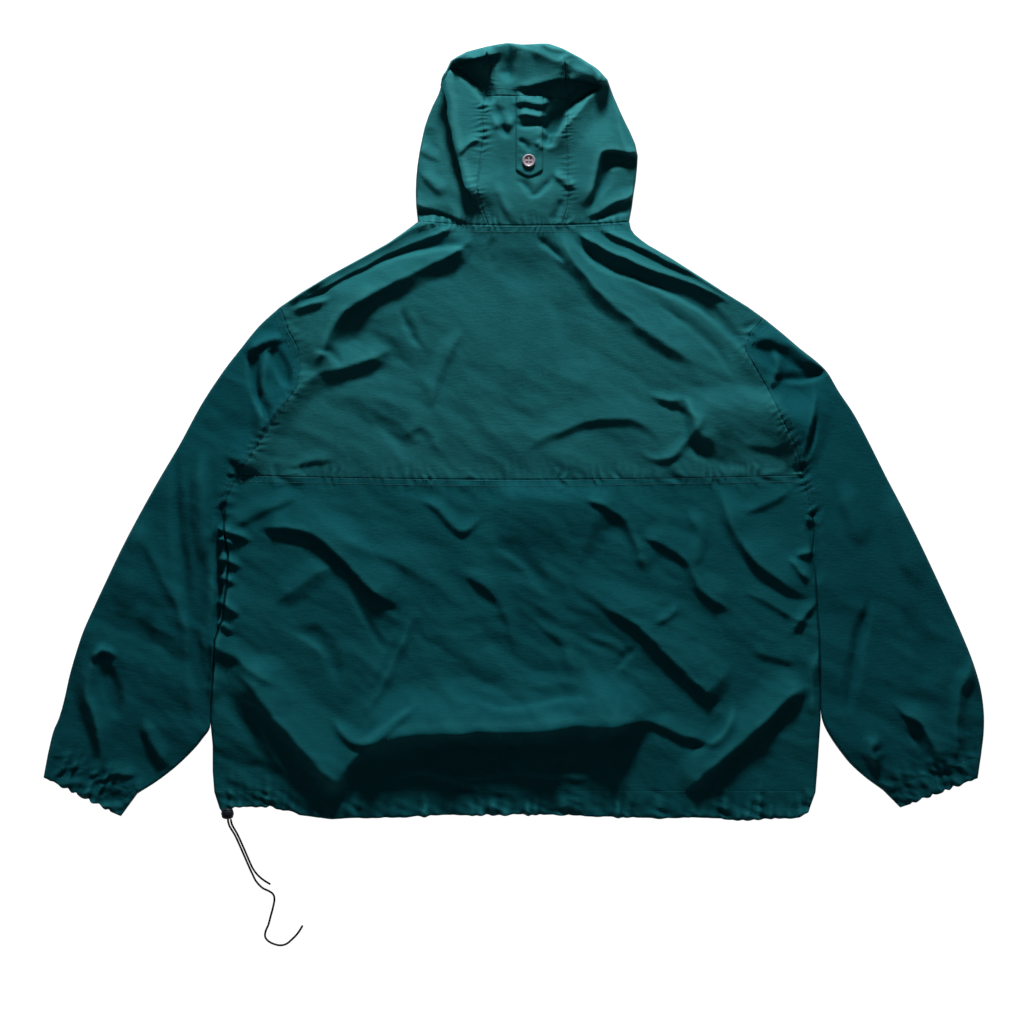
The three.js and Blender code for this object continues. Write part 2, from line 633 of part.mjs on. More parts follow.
// Four-hole button, tilted to lie flat on the tab.
function hoodButton() {
  const disc = new THREE.Shape().absarc(0, 0, BUTTON.radius - 0.5, 0, 2 * Math.PI);
  [[1, 1], [-1, 1], [-1, -1], [1, -1]].forEach(([x, y]) => {
    disc.holes.push(new THREE.Path().absarc(
      x * BUTTON.holeSpacing, y * BUTTON.holeSpacing, BUTTON.hole, 0, 2 * Math.PI, true));
  });
  const geometry = new THREE.ExtrudeGeometry(disc, {
    depth: BUTTON.thickness - 1, bevelThickness: 0.5, bevelSize: 0.5, bevelSegments: 1, curveSegments: 5,
  });
  geometry.translate(0, 0, 0.5);
  const step = 6;
  const slopeX = (clothHeight(BUTTON.x + step, BUTTON.y) - clothHeight(BUTTON.x - step, BUTTON.y)) / (2 * step);
  const slopeY = (clothHeight(BUTTON.x, BUTTON.y + step) - clothHeight(BUTTON.x, BUTTON.y - step)) / (2 * step);
  const normal = new THREE.Vector3(-slopeX, -slopeY, 1).normalize();
  const button = mesh('hood_button', geometry, BUTTON_COLOUR, 0.35);
  const lift = TAB.clear + TAB.wall + BUTTON.clear;
  button.quaternion.setFromUnitVectors(UP, normal);
  button.position.set(BUTTON.x, BUTTON.y, clothHeight(BUTTON.x, BUTTON.y) + lift);
  return button;
}

// Cord stopper at the left end of the hem: a rounded barrel lying on the floor.
function cordStopper() {
  const { radius, halfLength } = STOPPER;
  const profile = [-90, -62, -32, 0, 32, 62, 90].map((angle) => {
    const across = angle % 90 === 0 && angle !== 0 ? 0 : radius * Math.cos(radians(angle)) ** 0.6;
    return new THREE.Vector2(across, halfLength * Math.sin(radians(angle)));
  });
  const stopper = mesh('cord_stopper', new THREE.LatheGeometry(profile, 14), CORD_COLOUR, 0.4);
  stopper.scale.z = STOPPER.flatten;
  stopper.position.set(STOPPER.x, STOPPER.y, STOPPER.z);
  return stopper;
}

// The two free ends of the drawcord, from the stopper down to the floor and along it.
const LIES = CORD_RADIUS + 0.05;
const LONG_END = [
  [-332.2, -451.05, 4.6], [-331.6, -455, 3.4], [-329.8, -460, 1.7], [-324.3, -469.1, LIES],
  [-319.6, -479.1, LIES], [-313.9, -492.1, LIES], [-307.8, -506.1, LIES], [-304.3, -513.6, LIES],
  [-299.6, -522.8, LIES], [-292.3, -530.4, LIES], [-284.4, -534.3, LIES], [-279.8, -538, LIES],
  [-278.4, -544, LIES], [-280.3, -554, LIES], [-283, -564, LIES], [-285.4, -573, LIES],
  [-288.6, -580.6, LIES], [-289.2, -587, LIES], [-285.6, -592, LIES], [-279.2, -595.4, LIES],
  [-271.7, -597, LIES], [-264.6, -595.4, LIES], [-258.3, -590.3, LIES], [-253, -585, LIES],
  [-249, -579.6, LIES], [-245.7, -574, LIES],
];
const SHORT_END = [
  [-328.8, -450.8, 4.6], [-328.2, -454.6, 3.4], [-326.6, -459, 1.7], [-321.5, -467.9, LIES],
  [-316.8, -477.9, LIES], [-311.1, -490.9, LIES], [-305, -504.9, LIES], [-301, -511.6, LIES],
  [-296.3, -517, LIES], [-290.4, -521.8, LIES], [-283, -526.3, LIES],
];

function drawcord(name, route) {
  const path = new THREE.CatmullRomCurve3(route.map((spot) => new THREE.Vector3(...spot)));
  const section = new THREE.Shape(Array.from({ length: CORD_SIDES }, (_, n) => {
    const angle = (2 * Math.PI * (n + 0.5)) / CORD_SIDES;
    return new THREE.Vector2(CORD_RADIUS * Math.cos(angle), CORD_RADIUS * Math.sin(angle));
  }));
  const steps = Math.round(path.getLength() / CORD_STEP);
  const tube = new THREE.ExtrudeGeometry(section, { extrudePath: path, steps, bevelEnabled: false });
  return mesh(name, tube, CORD_COLOUR, 0.8);
}

const smock = new THREE.Group();
smock.name = 'anorak_smock';
smock.add(
  backYoke(),
  backLower(),
  frontPanel(),
  ...hemBands(),
  ...['left', 'right'].flatMap((side) => [sleeve(side), cuff(side), hoodSide(side)]),
  hoodCentre(),
  hoodCrown(),
  hoodTab(),
  hoodButton(),
  cordStopper(),
  drawcord('drawcord_long', LONG_END),
  drawcord('drawcord_short', SHORT_END),
);

export default smock;
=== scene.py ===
"""Looks for an anorak smock that lies flat with its back up.

Every cloth piece reads one relief: the height of the cloth's outer face over the floor,
worked out on a raster from swellings, folds, seams, gathers and crumpling. The tables are
in millimetres and the meshes in metres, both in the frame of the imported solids.
"""

import logging
import math
from dataclasses import dataclass, field
from enum import Enum

import bpy
import numpy as np
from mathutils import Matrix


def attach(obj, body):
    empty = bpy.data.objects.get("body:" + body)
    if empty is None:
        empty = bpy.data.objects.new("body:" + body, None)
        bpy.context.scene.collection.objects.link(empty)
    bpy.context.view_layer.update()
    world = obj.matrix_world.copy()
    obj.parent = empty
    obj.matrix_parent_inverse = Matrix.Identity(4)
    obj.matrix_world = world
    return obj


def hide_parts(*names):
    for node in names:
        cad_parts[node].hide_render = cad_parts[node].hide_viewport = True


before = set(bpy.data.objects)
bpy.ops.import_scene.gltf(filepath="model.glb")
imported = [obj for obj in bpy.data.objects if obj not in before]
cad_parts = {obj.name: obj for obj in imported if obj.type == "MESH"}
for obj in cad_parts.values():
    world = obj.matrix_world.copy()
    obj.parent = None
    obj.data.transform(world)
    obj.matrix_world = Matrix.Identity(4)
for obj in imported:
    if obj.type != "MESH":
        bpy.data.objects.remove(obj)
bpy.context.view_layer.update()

LOG = logging.getLogger("smock")
MM = 0.001
EDGE = 3.5
SLEEVE_CLEAR = -0.1
HEM_SEAM_Y = -418.0
YOKE_SEAM_Y = -52.0
NECK_Y = 242.0
SEAM_SAG = 5.0
ARMPIT_Y = -98.0
SHOULDER_TIP_Y = {"left": 143.0, "right": 130.0}
THROAT = (10.5, 193.0)
FACE_HALF_WIDTH = 38.0
FACE_WIDENS = 60.0
FACE_TOP_Y = 396.0
TURN_ANGLES = np.radians([0, 14, 28, 43, 58, 73, 90])
TURN_OFFSETS = EDGE * (1 - np.cos(TURN_ANGLES))
TUCK_DEPTH = 0.6
TUCK_REACH = 1.0
HEM_TUCK = 0.1
SEAM_STEPS = np.array([0, 0.35, 0.9, 1.7, 2.8])
ROW_PITCH = 18.0

# The body's outline, from the hem up: y, left x, right x.
BODY = np.array([
    (-447, -342, 341), (-420, -348, 349), (-395, -350, 351), (-365, -350, 353), (-335, -353, 355),
    (-305, -352, 355), (-275, -349, 354.5), (-245, -348, 354), (-220, -339, 352), (-195, -336, 351),
    (-170, -333, 349), (-145, -332, 345), (-120, -337, 347.5), (-98, -338, 346), (-80, -334, 341),
    (-52, -320, 334), (-20, -300, 325), (20, -273, 306.5), (50, -252, 292), (72, -248, 279),
    (95, -251, 266), (115, -261.5, 274.5), (130, -267, 289), (143, -272, 271), (160, -247, 243.5),
    (180, -214, 212.5), (200, -177, 181), (217, -146.5, 151.5), (230, -128, 136), (242, -112, 133),
])
HEM_EDGE = np.array([
    (-342, -438), (-338, -443), (-325, -436.5), (-300, -437.5), (-283, -436.5), (-275, -441), (-257, -443),
    (-250, -447.5), (-212, -452.5), (-190, -451), (-125, -448), (-100, -446), (0, -445), (50, -446),
    (100, -448), (150, -449), (200, -450), (250, -452), (275, -450), (325, -449), (341, -441),
])
# Stretches of the hem: first x, last x, gathers in it, their depth.
HEM_GATHERS = np.array([
    (-342, -250, 9, 4.0), (-250, -110, 9, 2.2), (-110, 110, 17, 3.0), (110, 255, 9, 2.2), (255, 341, 7, 3.8),
])
SLEEVES = {
    "left": np.array([
        (-272, 143, np.nan, -98), (-296, 121, np.nan, -100), (-318, 94, np.nan, -103),
        (-338, 68, np.nan, -108), (-363, 30, np.nan, -120), (-388, -16, np.nan, -132),
        (-411, -55, np.nan, -145), (-434, -96, np.nan, -170), (-456, -138, np.nan, -195),
        (-475, -178, np.nan, -220), (-488, -206, np.nan, -245), (-500, -233, np.nan, -275),
        (-509, -260, np.nan, -305), (-516, -285, np.nan, -335), (-522, -312, -362, -358),
        (-528, -333, -386, -384), (-535, -350, -412, -405), (-541, -375, -437, -421),
    ]),
    "right": np.array([
        (289, 130, np.nan, -98), (310, 113, np.nan, -100), (331, 95, np.nan, -103),
        (350, 80, np.nan, -107), (363, 67, np.nan, -112), (376, 45, np.nan, -120),
        (394, 18, np.nan, -132), (412, -16, np.nan, -145), (431, -54, np.nan, -170),
        (450, -90, np.nan, -195), (469, -128, np.nan, -215), (487, -166, np.nan, -235),
        (504, -203, np.nan, -255), (519, -237, np.nan, -275), (531, -267, np.nan, -305),
        (540, -297, 358, -340), (544, -325, 382, -378), (544, -350, 404, -400), (541, -376, 427, -417),
    ]),
}
CUFFS = {
    "left": np.array([(-541, -375, -437, -421), (-546, -402, -456, -447)], float),
    "right": np.array([(541, -376, 427, -417), (537, -403, 447, -437)], float),
}
# Rows up the hood: x and y of the left seam, left outline, right seam and right outline.
HOOD = np.array([
    (-30, 237.6, -112, 242, 55, 237.6, 133, 241), (-38, 258, -114, 260, 61, 258, 136, 258),
    (-42, 274, -114.5, 276, 62, 274, 138, 273), (-43, 288, -114, 292, 62, 288, 140.5, 289),
    (-41, 302, -112.5, 308, 61.5, 302, 142, 303), (-39, 318, -110, 324, 61, 318, 143, 318),
    (-36, 334, -107, 339, 60, 334, 140, 332), (-36, 348, -104, 352, 60, 347, 134, 346),
    (-37, 360, -100, 364, 60.5, 359, 128, 358), (-36, 372, -95, 376, 61, 371, 122, 371),
    (-34, 387.5, -88, 390, 62, 384.5, 115, 387), (-29, 405, -81, 413, 60, 401, 108, 406),
    (-27, 419, -74, 428, 58.5, 415, 97, 418), (-29, 430, -56, 438, 57.5, 426, 77, 431),
    (-32, 437, -32.5, 444.5, 57, 433, 57, 441.5),
])
CROSS_SEAM_ROW = 10
CROWN_TOP = np.array([(-32.5, 444.5), (-20, 447), (-8, 449), (8, 447), (40, 448), (57, 441.5)])
TAB_LEFT, TAB_RIGHT, TAB_MIDDLE, TAB_TOP, TAB_CORNER_Y, TAB_TIP_Y = 1.5, 33.0, 17.3, 386.0, 301.5, 293.5

LONG_END = np.array([
    (-332.2, -451.05, 4.6), (-331.6, -455, 3.4), (-329.8, -460, 1.7), (-324.3, -469.1, 1.25),
    (-319.6, -479.1, 1.25), (-313.9, -492.1, 1.25), (-307.8, -506.1, 1.25), (-304.3, -513.6, 1.25),
    (-299.6, -522.8, 1.25), (-292.3, -530.4, 1.25), (-284.4, -534.3, 1.25), (-279.8, -538, 1.25),
    (-278.4, -544, 1.25), (-280.3, -554, 1.25), (-283, -564, 1.25), (-285.4, -573, 1.25),
    (-288.6, -580.6, 1.25), (-289.2, -587, 1.25), (-285.6, -592, 1.25), (-279.2, -595.4, 1.25),
    (-271.7, -597, 1.25), (-264.6, -595.4, 1.25), (-258.3, -590.3, 1.25), (-253, -585, 1.25),
    (-249, -579.6, 1.25), (-245.7, -574, 1.25),
])
SHORT_END = np.array([
    (-328.8, -450.8, 4.6), (-328.2, -454.6, 3.4), (-326.6, -459, 1.7), (-321.5, -467.9, 1.25),
    (-316.8, -477.9, 1.25), (-311.1, -490.9, 1.25), (-305, -504.9, 1.25), (-301, -511.6, 1.25),
    (-296.3, -517, 1.25), (-290.4, -521.8, 1.25), (-283, -526.3, 1.25),
])
CORD_DIAMETER = 0.0024


class Crest(Enum):
    """How a fold's section looks."""

    SOFT = 0.0
    FIRM = 0.7
    SHARP = 0.95


@dataclass(frozen=True)
class Fold:
    """A ridge, or a trough where height is negative, along a smooth line of places.

    left and right are its flanks' widths, seen along the line. lean moves the crest
    towards the right flank, so that the cloth laps over. fades are the shares of its
    length over which each end dies away.
    """

    height: float
    left: float
    right: float
    line: tuple[tuple[float, float], ...]
    crest: Crest = Crest.FIRM
    lean: float = 0.0
    fades: tuple[float, float] = (0.3, 0.3)


SWELLINGS = (
    Fold(4, 330, 330, ((0, -640), (5, 330)), Crest.SOFT),
    Fold(2, 85, 85, ((-290, 160), (-480, -470)), Crest.SOFT),
    Fold(2, 85, 85, ((300, 150), (470, -480)), Crest.SOFT),
    Fold(12, 118, 118, ((12, 170), (14, 520)), Crest.SOFT),
)

YOKE_FOLDS = (
    Fold(11.5, 32, 26, ((-44, 222), (-68, 211), (-112, 187), (-157, 168), (-198, 144), (-220, 107),
         (-236, 68)),
         Crest.FIRM, -3, (0.1, 0.12)),
    Fold(6, 26, 6, ((-80, 241), (-112, 237), (-150, 216), (-200, 188), (-240, 165), (-270, 146)),
         Crest.FIRM, 0, (0.1, 0.1)),
    Fold(5, 9, 6, ((-64, 236), (-100, 225), (-140, 208), (-180, 187), (-215, 169), (-250, 149)),
         Crest.SHARP, -1, (0.1, 0.2)),
    Fold(5, 20, 20, ((-140, 172), (-180, 154), (-206, 134), (-224, 102), (-238, 68)), Crest.FIRM, -2),
    Fold(-5, 9, 10, ((-48, 206), (-72, 217), (-127, 207), (-168, 190), (-216, 166),
         (-258, 142)), Crest.FIRM, 0,
         (0.1, 0.15)),
    Fold(9, 32, 22, ((-134, 96), (-170, 84), (-202, 76), (-226, 67), (-254, 44), (-282, 14),
         (-302, -20), (-318, -48)),
         Crest.FIRM, -2, (0.15, 0.04)),
    Fold(-4, 8, 8, ((-236, 96), (-216, 92), (-200, 78)), Crest.SHARP),
    Fold(6, 15, 6, ((-210, 154), (-236, 147), (-264, 137)), Crest.SHARP),
    Fold(-3.5, 8, 8, ((-132, 146), (-120, 112), (-106, 92)), Crest.SHARP),
    Fold(2.6, 12, 12, ((-132, -12), (-112, 4), (-97, -6), (-80, -34))),
    Fold(2.6, 9, 8, ((-262, -44), (-234, -34), (-206, -34))),
    Fold(-2.5, 14, 12, ((-170, 20), (-140, -8), (-120, -40)), Crest.SOFT),
    Fold(3.5, 12, 14, ((-60, 120), (-92, 60), (-100, 20)), Crest.SOFT),
    Fold(7.5, 22, 24, ((50, 234), (62, 208), (78, 188), (110, 152), (148, 121), (190, 91), (220, 70)),
         Crest.FIRM, 2, (0.15, 0.25)),
    Fold(-7.5, 9, 12, ((66, 222), (83, 209), (113, 188), (148, 177), (182, 161), (213, 145), (240, 125),
         (264, 98),
                     (284, 66)), Crest.FIRM, 0, (0.12, 0.3)),
    Fold(7, 9, 10, ((70, 231), (86, 221), (136, 197), (175, 182), (220, 165), (256, 145)), Crest.SHARP, 2,
         (0.1, 0.2)),
    Fold(6, 8, 8, ((96, 233), (110, 227), (155, 208), (198, 186), (252, 155)), Crest.SHARP, 1, (0.1, 0.2)),
    Fold(5, 12, 26, ((250, 112), (280, 76), (300, 40), (318, -4), (334, -44)), Crest.FIRM, 0, (0.2, 0.05)),
    Fold(-2.5, 8, 8, ((160, 150), (200, 122), (234, 92), (256, 60))),
    Fold(-3.5, 7, 7, ((24, 226), (40, 209), (62, 196)), Crest.SHARP),
    Fold(-1.5, 8, 8, ((-20, 226), (-28, 206), (-24, 184)), Crest.SOFT),
    Fold(3.8, 18, 16, ((6, -26), (30, -10), (62, 4), (100, 14), (140, 12), (162, -2),
         (176, -18)), Crest.FIRM, 1),
    Fold(4, 9, 10, ((136, -16), (160, -34), (184, -30), (202, -8), (214, 12), (190, 30), (152, 42))),
    Fold(3.4, 9, 9, ((152, 44), (176, 34), (196, 34), (214, 20))),
    Fold(11, 26, 80, ((196, 6), (240, 18), (300, 14), (350, 4)), Crest.SOFT, 0, (0.1, 0.05)),
    Fold(-2.5, 14, 14, ((196, -8), (232, -34), (276, -44))),
    Fold(2.4, 12, 12, ((212, 4), (232, -22), (240, -46))),
    Fold(2.2, 12, 10, ((262, -14), (290, -20), (320, -14))),
    Fold(-2.5, 24, 20, ((40, 160), (66, 110), (70, 50)), Crest.SOFT),
    Fold(2.5, 22, 22, ((-10, 200), (4, 120), (-6, 30)), Crest.SOFT),
)

LOWER_FOLDS = (
    Fold(9, 28, 17, ((-298, -112), (-262, -112), (-228, -120), (-202, -142), (-176, -170), (-150, -194),
         (-128, -206)),
         Crest.FIRM, 3, (0.12, 0.2)),
    Fold(-2, 10, 10, ((-290, -126), (-250, -130), (-222, -140), (-196, -164), (-170, -186))),
    Fold(2.5, 16, 22, ((-232, -112), (-176, -136), (-124, -158), (-84, -184), (-46, -218))),
    Fold(-2.8, 8, 8, ((-192, -178), (-176, -210), (-150, -256)), Crest.SHARP),
    Fold(4.2, 26, 16, ((-206, -152), (-240, -172), (-284, -204))),
    Fold(3.5, 14, 14, ((-344, -118), (-300, -96), (-246, -72)), Crest.SOFT),
    Fold(5, 15, 15, ((-112, -208), (-138, -256), (-160, -300), (-186, -340)), Crest.FIRM, 1),
    Fold(-3.5, 9, 9, ((-126, -222), (-150, -276), (-178, -328)), Crest.SHARP),
    Fold(5, 10, 12, ((-214, -330), (-192, -356), (-170, -356), (-146, -338))),
    Fold(3.5, 7, 7, ((-108, -314), (-146, -340), (-188, -372)), Crest.SHARP),
    Fold(17, 36, 38, ((-330, -268), (-312, -287), (-283, -324), (-247, -365), (-214, -401), (-186, -424)),
         Crest.FIRM, 1, (0.2, 0.15)),
    Fold(5.5, 14, 13, ((-356, -244), (-330, -260), (-300, -281), (-268, -300)), Crest.FIRM, 0, (0.1, 0.4)),
    Fold(4, 10, 12, ((-300, -330), (-286, -362), (-262, -400))),
    Fold(25, 36, 58, ((-208, -412), (-192, -384), (-174, -364), (-150, -350), (-118, -343), (-75, -340),
         (0, -340),
                      (75, -333), (130, -333), (172, -342)), Crest.FIRM, 10, (0.2, 0.16)),
    Fold(3.5, 10, 14, ((-120, -392), (-60, -402), (0, -398), (70, -402), (120, -392))),
    Fold(4, 9, 12, ((-150, -404), (-110, -398), (-70, -408), (-30, -420)), Crest.SHARP),
    Fold(8, 22, 124, ((-30, -80), (30, -84), (84, -90), (122, -104)), Crest.SOFT, 0, (0.2, 0.2)),
    Fold(5.5, 14, 12, ((148, -330), (190, -351), (226, -361), (246, -343), (254, -310)), Crest.FIRM, 0,
         (0.2, 0.2)),
    Fold(-2.5, 10, 10, ((-60, -300), (-10, -316), (60, -304), (110, -312)), Crest.SOFT),
    Fold(5.5, 20, 13, ((76, -76), (104, -86), (132, -106), (142, -130), (156, -164)), Crest.FIRM, 2,
         (0.15, 0.15)),
    Fold(5, 18, 13, ((144, -120), (174, -132), (200, -150), (214, -178), (252, -210)), Crest.FIRM, 2,
         (0.15, 0.2)),
    Fold(9, 34, 20, ((62, -172), (100, -200), (140, -222), (166, -246), (196, -276), (240, -316)),
         Crest.FIRM, 2, (0.55, 0.1)),
    Fold(2.6, 9, 9, ((188, -200), (180, -214), (162, -226))),
    Fold(-2.4, 8, 8, ((142, -248), (130, -262), (112, -282))),
    Fold(7.5, 30, 15, ((236, -58), (248, -98), (266, -132), (292, -160), (322, -182), (354, -204)),
         Crest.FIRM, 2),
    Fold(3.6, 14, 11, ((262, -186), (294, -198), (326, -216), (354, -228)), Crest.FIRM, 1),
    Fold(3, 11, 11, ((262, -96), (290, -86), (322, -66))),
    Fold(2.4, 12, 12, ((270, -250), (296, -262), (330, -270))),
    Fold(12.5, 30, 24, ((344, -292), (318, -306), (292, -330), (256, -362), (222, -392), (192, -424)),
         Crest.FIRM, -3, (0.12, 0.15)),
    Fold(5, 13, 24, ((-344, -100), (-338, -150), (-336, -200), (-346, -250), (-350, -320)), Crest.FIRM, 0,
         (0.1, 0.1)),
    Fold(-4, 10, 10, ((250, -318), (234, -350), (200, -378))),
    Fold(4, 12, 10, ((-116, -76), (-88, -92), (-62, -118), (-34, -96))),
    Fold(3, 12, 12, ((-70, -160), (-36, -178), (-12, -204), (6, -262)), Crest.SOFT, 1),
    Fold(-3.5, 14, 12, ((-30, -130), (10, -150), (40, -190)), Crest.SOFT),
    Fold(2.4, 12, 12, ((20, -220), (60, -250), (70, -300)), Crest.SOFT),
    Fold(-3.5, 12, 12, ((-260, -230), (-220, -250), (-200, -300)), Crest.SOFT),
    Fold(3.5, 12, 12, ((200, -90), (214, -120), (208, -160)), Crest.SOFT),
    Fold(-6, 9, 9, ((-338, -74), (-341, -110), (-342, -160), (-341, -205), (-348, -250)), Crest.FIRM, 0,
         (0.15, 0.15)),
    Fold(8, 7, 8, ((-345, -112), (-336, -116), (-318, -121), (-300, -132)), Crest.SHARP, 1, (0.1, 0.5)),
    Fold(6.5, 6, 7, ((-344, -128), (-334, -128), (-322, -134)), Crest.SHARP, 0, (0.1, 0.5)),
    Fold(7.5, 7, 8, ((-345, -150), (-330, -152), (-312, -162)), Crest.SHARP, 1, (0.1, 0.5)),
    Fold(6.5, 6, 7, ((-344, -172), (-334, -174), (-320, -180)), Crest.SHARP, 0, (0.1, 0.5)),
    Fold(7.5, 7, 8, ((-345, -198), (-332, -203), (-314, -216)), Crest.SHARP, 1, (0.1, 0.5)),
    Fold(6, 6, 7, ((-345, -224), (-334, -229), (-322, -238)), Crest.SHARP, 0, (0.1, 0.5)),
    Fold(-5, 12, 7, ((342, -98), (345, -140), (350, -180)), Crest.FIRM, 0, (0.2, 0.2)),
    Fold(5, 7, 8, ((314, -146), (328, -158), (344, -176)), Crest.SHARP, 1),
    Fold(4, 6, 7, ((322, -146), (338, -142), (350, -140)), Crest.SHARP),
    Fold(4, 8, 9, ((354, -196), (336, -214), (318, -240)), Crest.SHARP),
    Fold(4, 9, 8, ((356, -250), (344, -290), (346, -340))),
)

SLEEVE_FOLDS = (
    Fold(5.5, 12, 12, ((-283, 108), (-290, 60), (-294, 10), (-300, -20))),
    Fold(-8.5, 9, 8, ((-305, 88), (-299, 48), (-280, 2)), Crest.FIRM, 0, (0.05, 0.3)),
    Fold(7.5, 9, 9, ((-312, 90), (-290, 102), (-262, 108))),
    Fold(-8.5, 9, 8, ((-284, 94), (-272, 74), (-258, 48)), Crest.FIRM, 0, (0.05, 0.3)),
    Fold(-4, 5, 12, ((-347, -108), (-345, -150), (-343, -200), (-350, -240), (-356, -330)), Crest.FIRM, 0,
         (0.1, 0.1)),
    Fold(-5, 11, 11, ((-392, -14), (-390, -100), (-382, -180), (-371, -260), (-358, -340))),
    Fold(5, 14, 14, ((-362, -20), (-364, -90), (-360, -160)), Crest.SOFT),
    Fold(-3.5, 15, 15, ((-358, -130), (-366, -200), (-364, -280), (-358, -350)), Crest.SOFT, 0, (0.2, 0.1)),
    Fold(3, 12, 12, ((-440, -112), (-412, -160), (-386, -212), (-372, -270))),
    Fold(7, 13, 16, ((-464, -258), (-480, -256), (-489, -276), (-494, -304), (-482, -340), (-474, -400)),
         Crest.FIRM, 2),
    Fold(-6, 13, 13, ((-474, -266), (-468, -300), (-460, -338))),
    Fold(6, 7, 9, ((-492, -268), (-478, -256), (-458, -262))),
    Fold(4, 10, 10, ((-480, -404), (-460, -396), (-436, -402))),
    Fold(5, 12, 12, ((-430, -330), (-420, -360), (-400, -392)), Crest.SOFT),
    Fold(4, 20, 20, ((-424, -90), (-444, -150), (-452, -220)), Crest.SOFT),
    Fold(-3, 16, 16, ((-420, -200), (-432, -260), (-440, -330)), Crest.SOFT),
    Fold(8, 15, 22, ((262, 94), (290, 108), (316, 100), (340, 84), (368, 72)), Crest.FIRM, 3),
    Fold(5, 9, 10, ((296, 44), (304, 72), (300, 98))),
    Fold(-5, 9, 9, ((300, 62), (330, 58), (352, 64), (368, 76))),
    Fold(4, 14, 12, ((345, 62), (352, 20), (350, -14), (332, -50))),
    Fold(4, 18, 18, ((374, -60), (392, -96), (404, -140)), Crest.SOFT),
    Fold(-5, 11, 11, ((412, -190), (402, -230), (394, -266), (384, -334))),
    Fold(7, 15, 13, ((434, -312), (452, -326), (472, -338), (490, -370), (502, -402)), Crest.FIRM, 3),
    Fold(-4, 10, 10, ((448, -344), (468, -360), (480, -392))),
    Fold(6.5, 15, 13, ((424, -352), (412, -372), (424, -392))),
    Fold(5, 13, 12, ((534, -250), (524, -284), (514, -316), (510, -396))),
    Fold(4, 20, 20, ((430, -60), (448, -120), (470, -190)), Crest.SOFT),
    Fold(-3, 18, 18, ((450, -200), (470, -250), (486, -310)), Crest.SOFT),
)

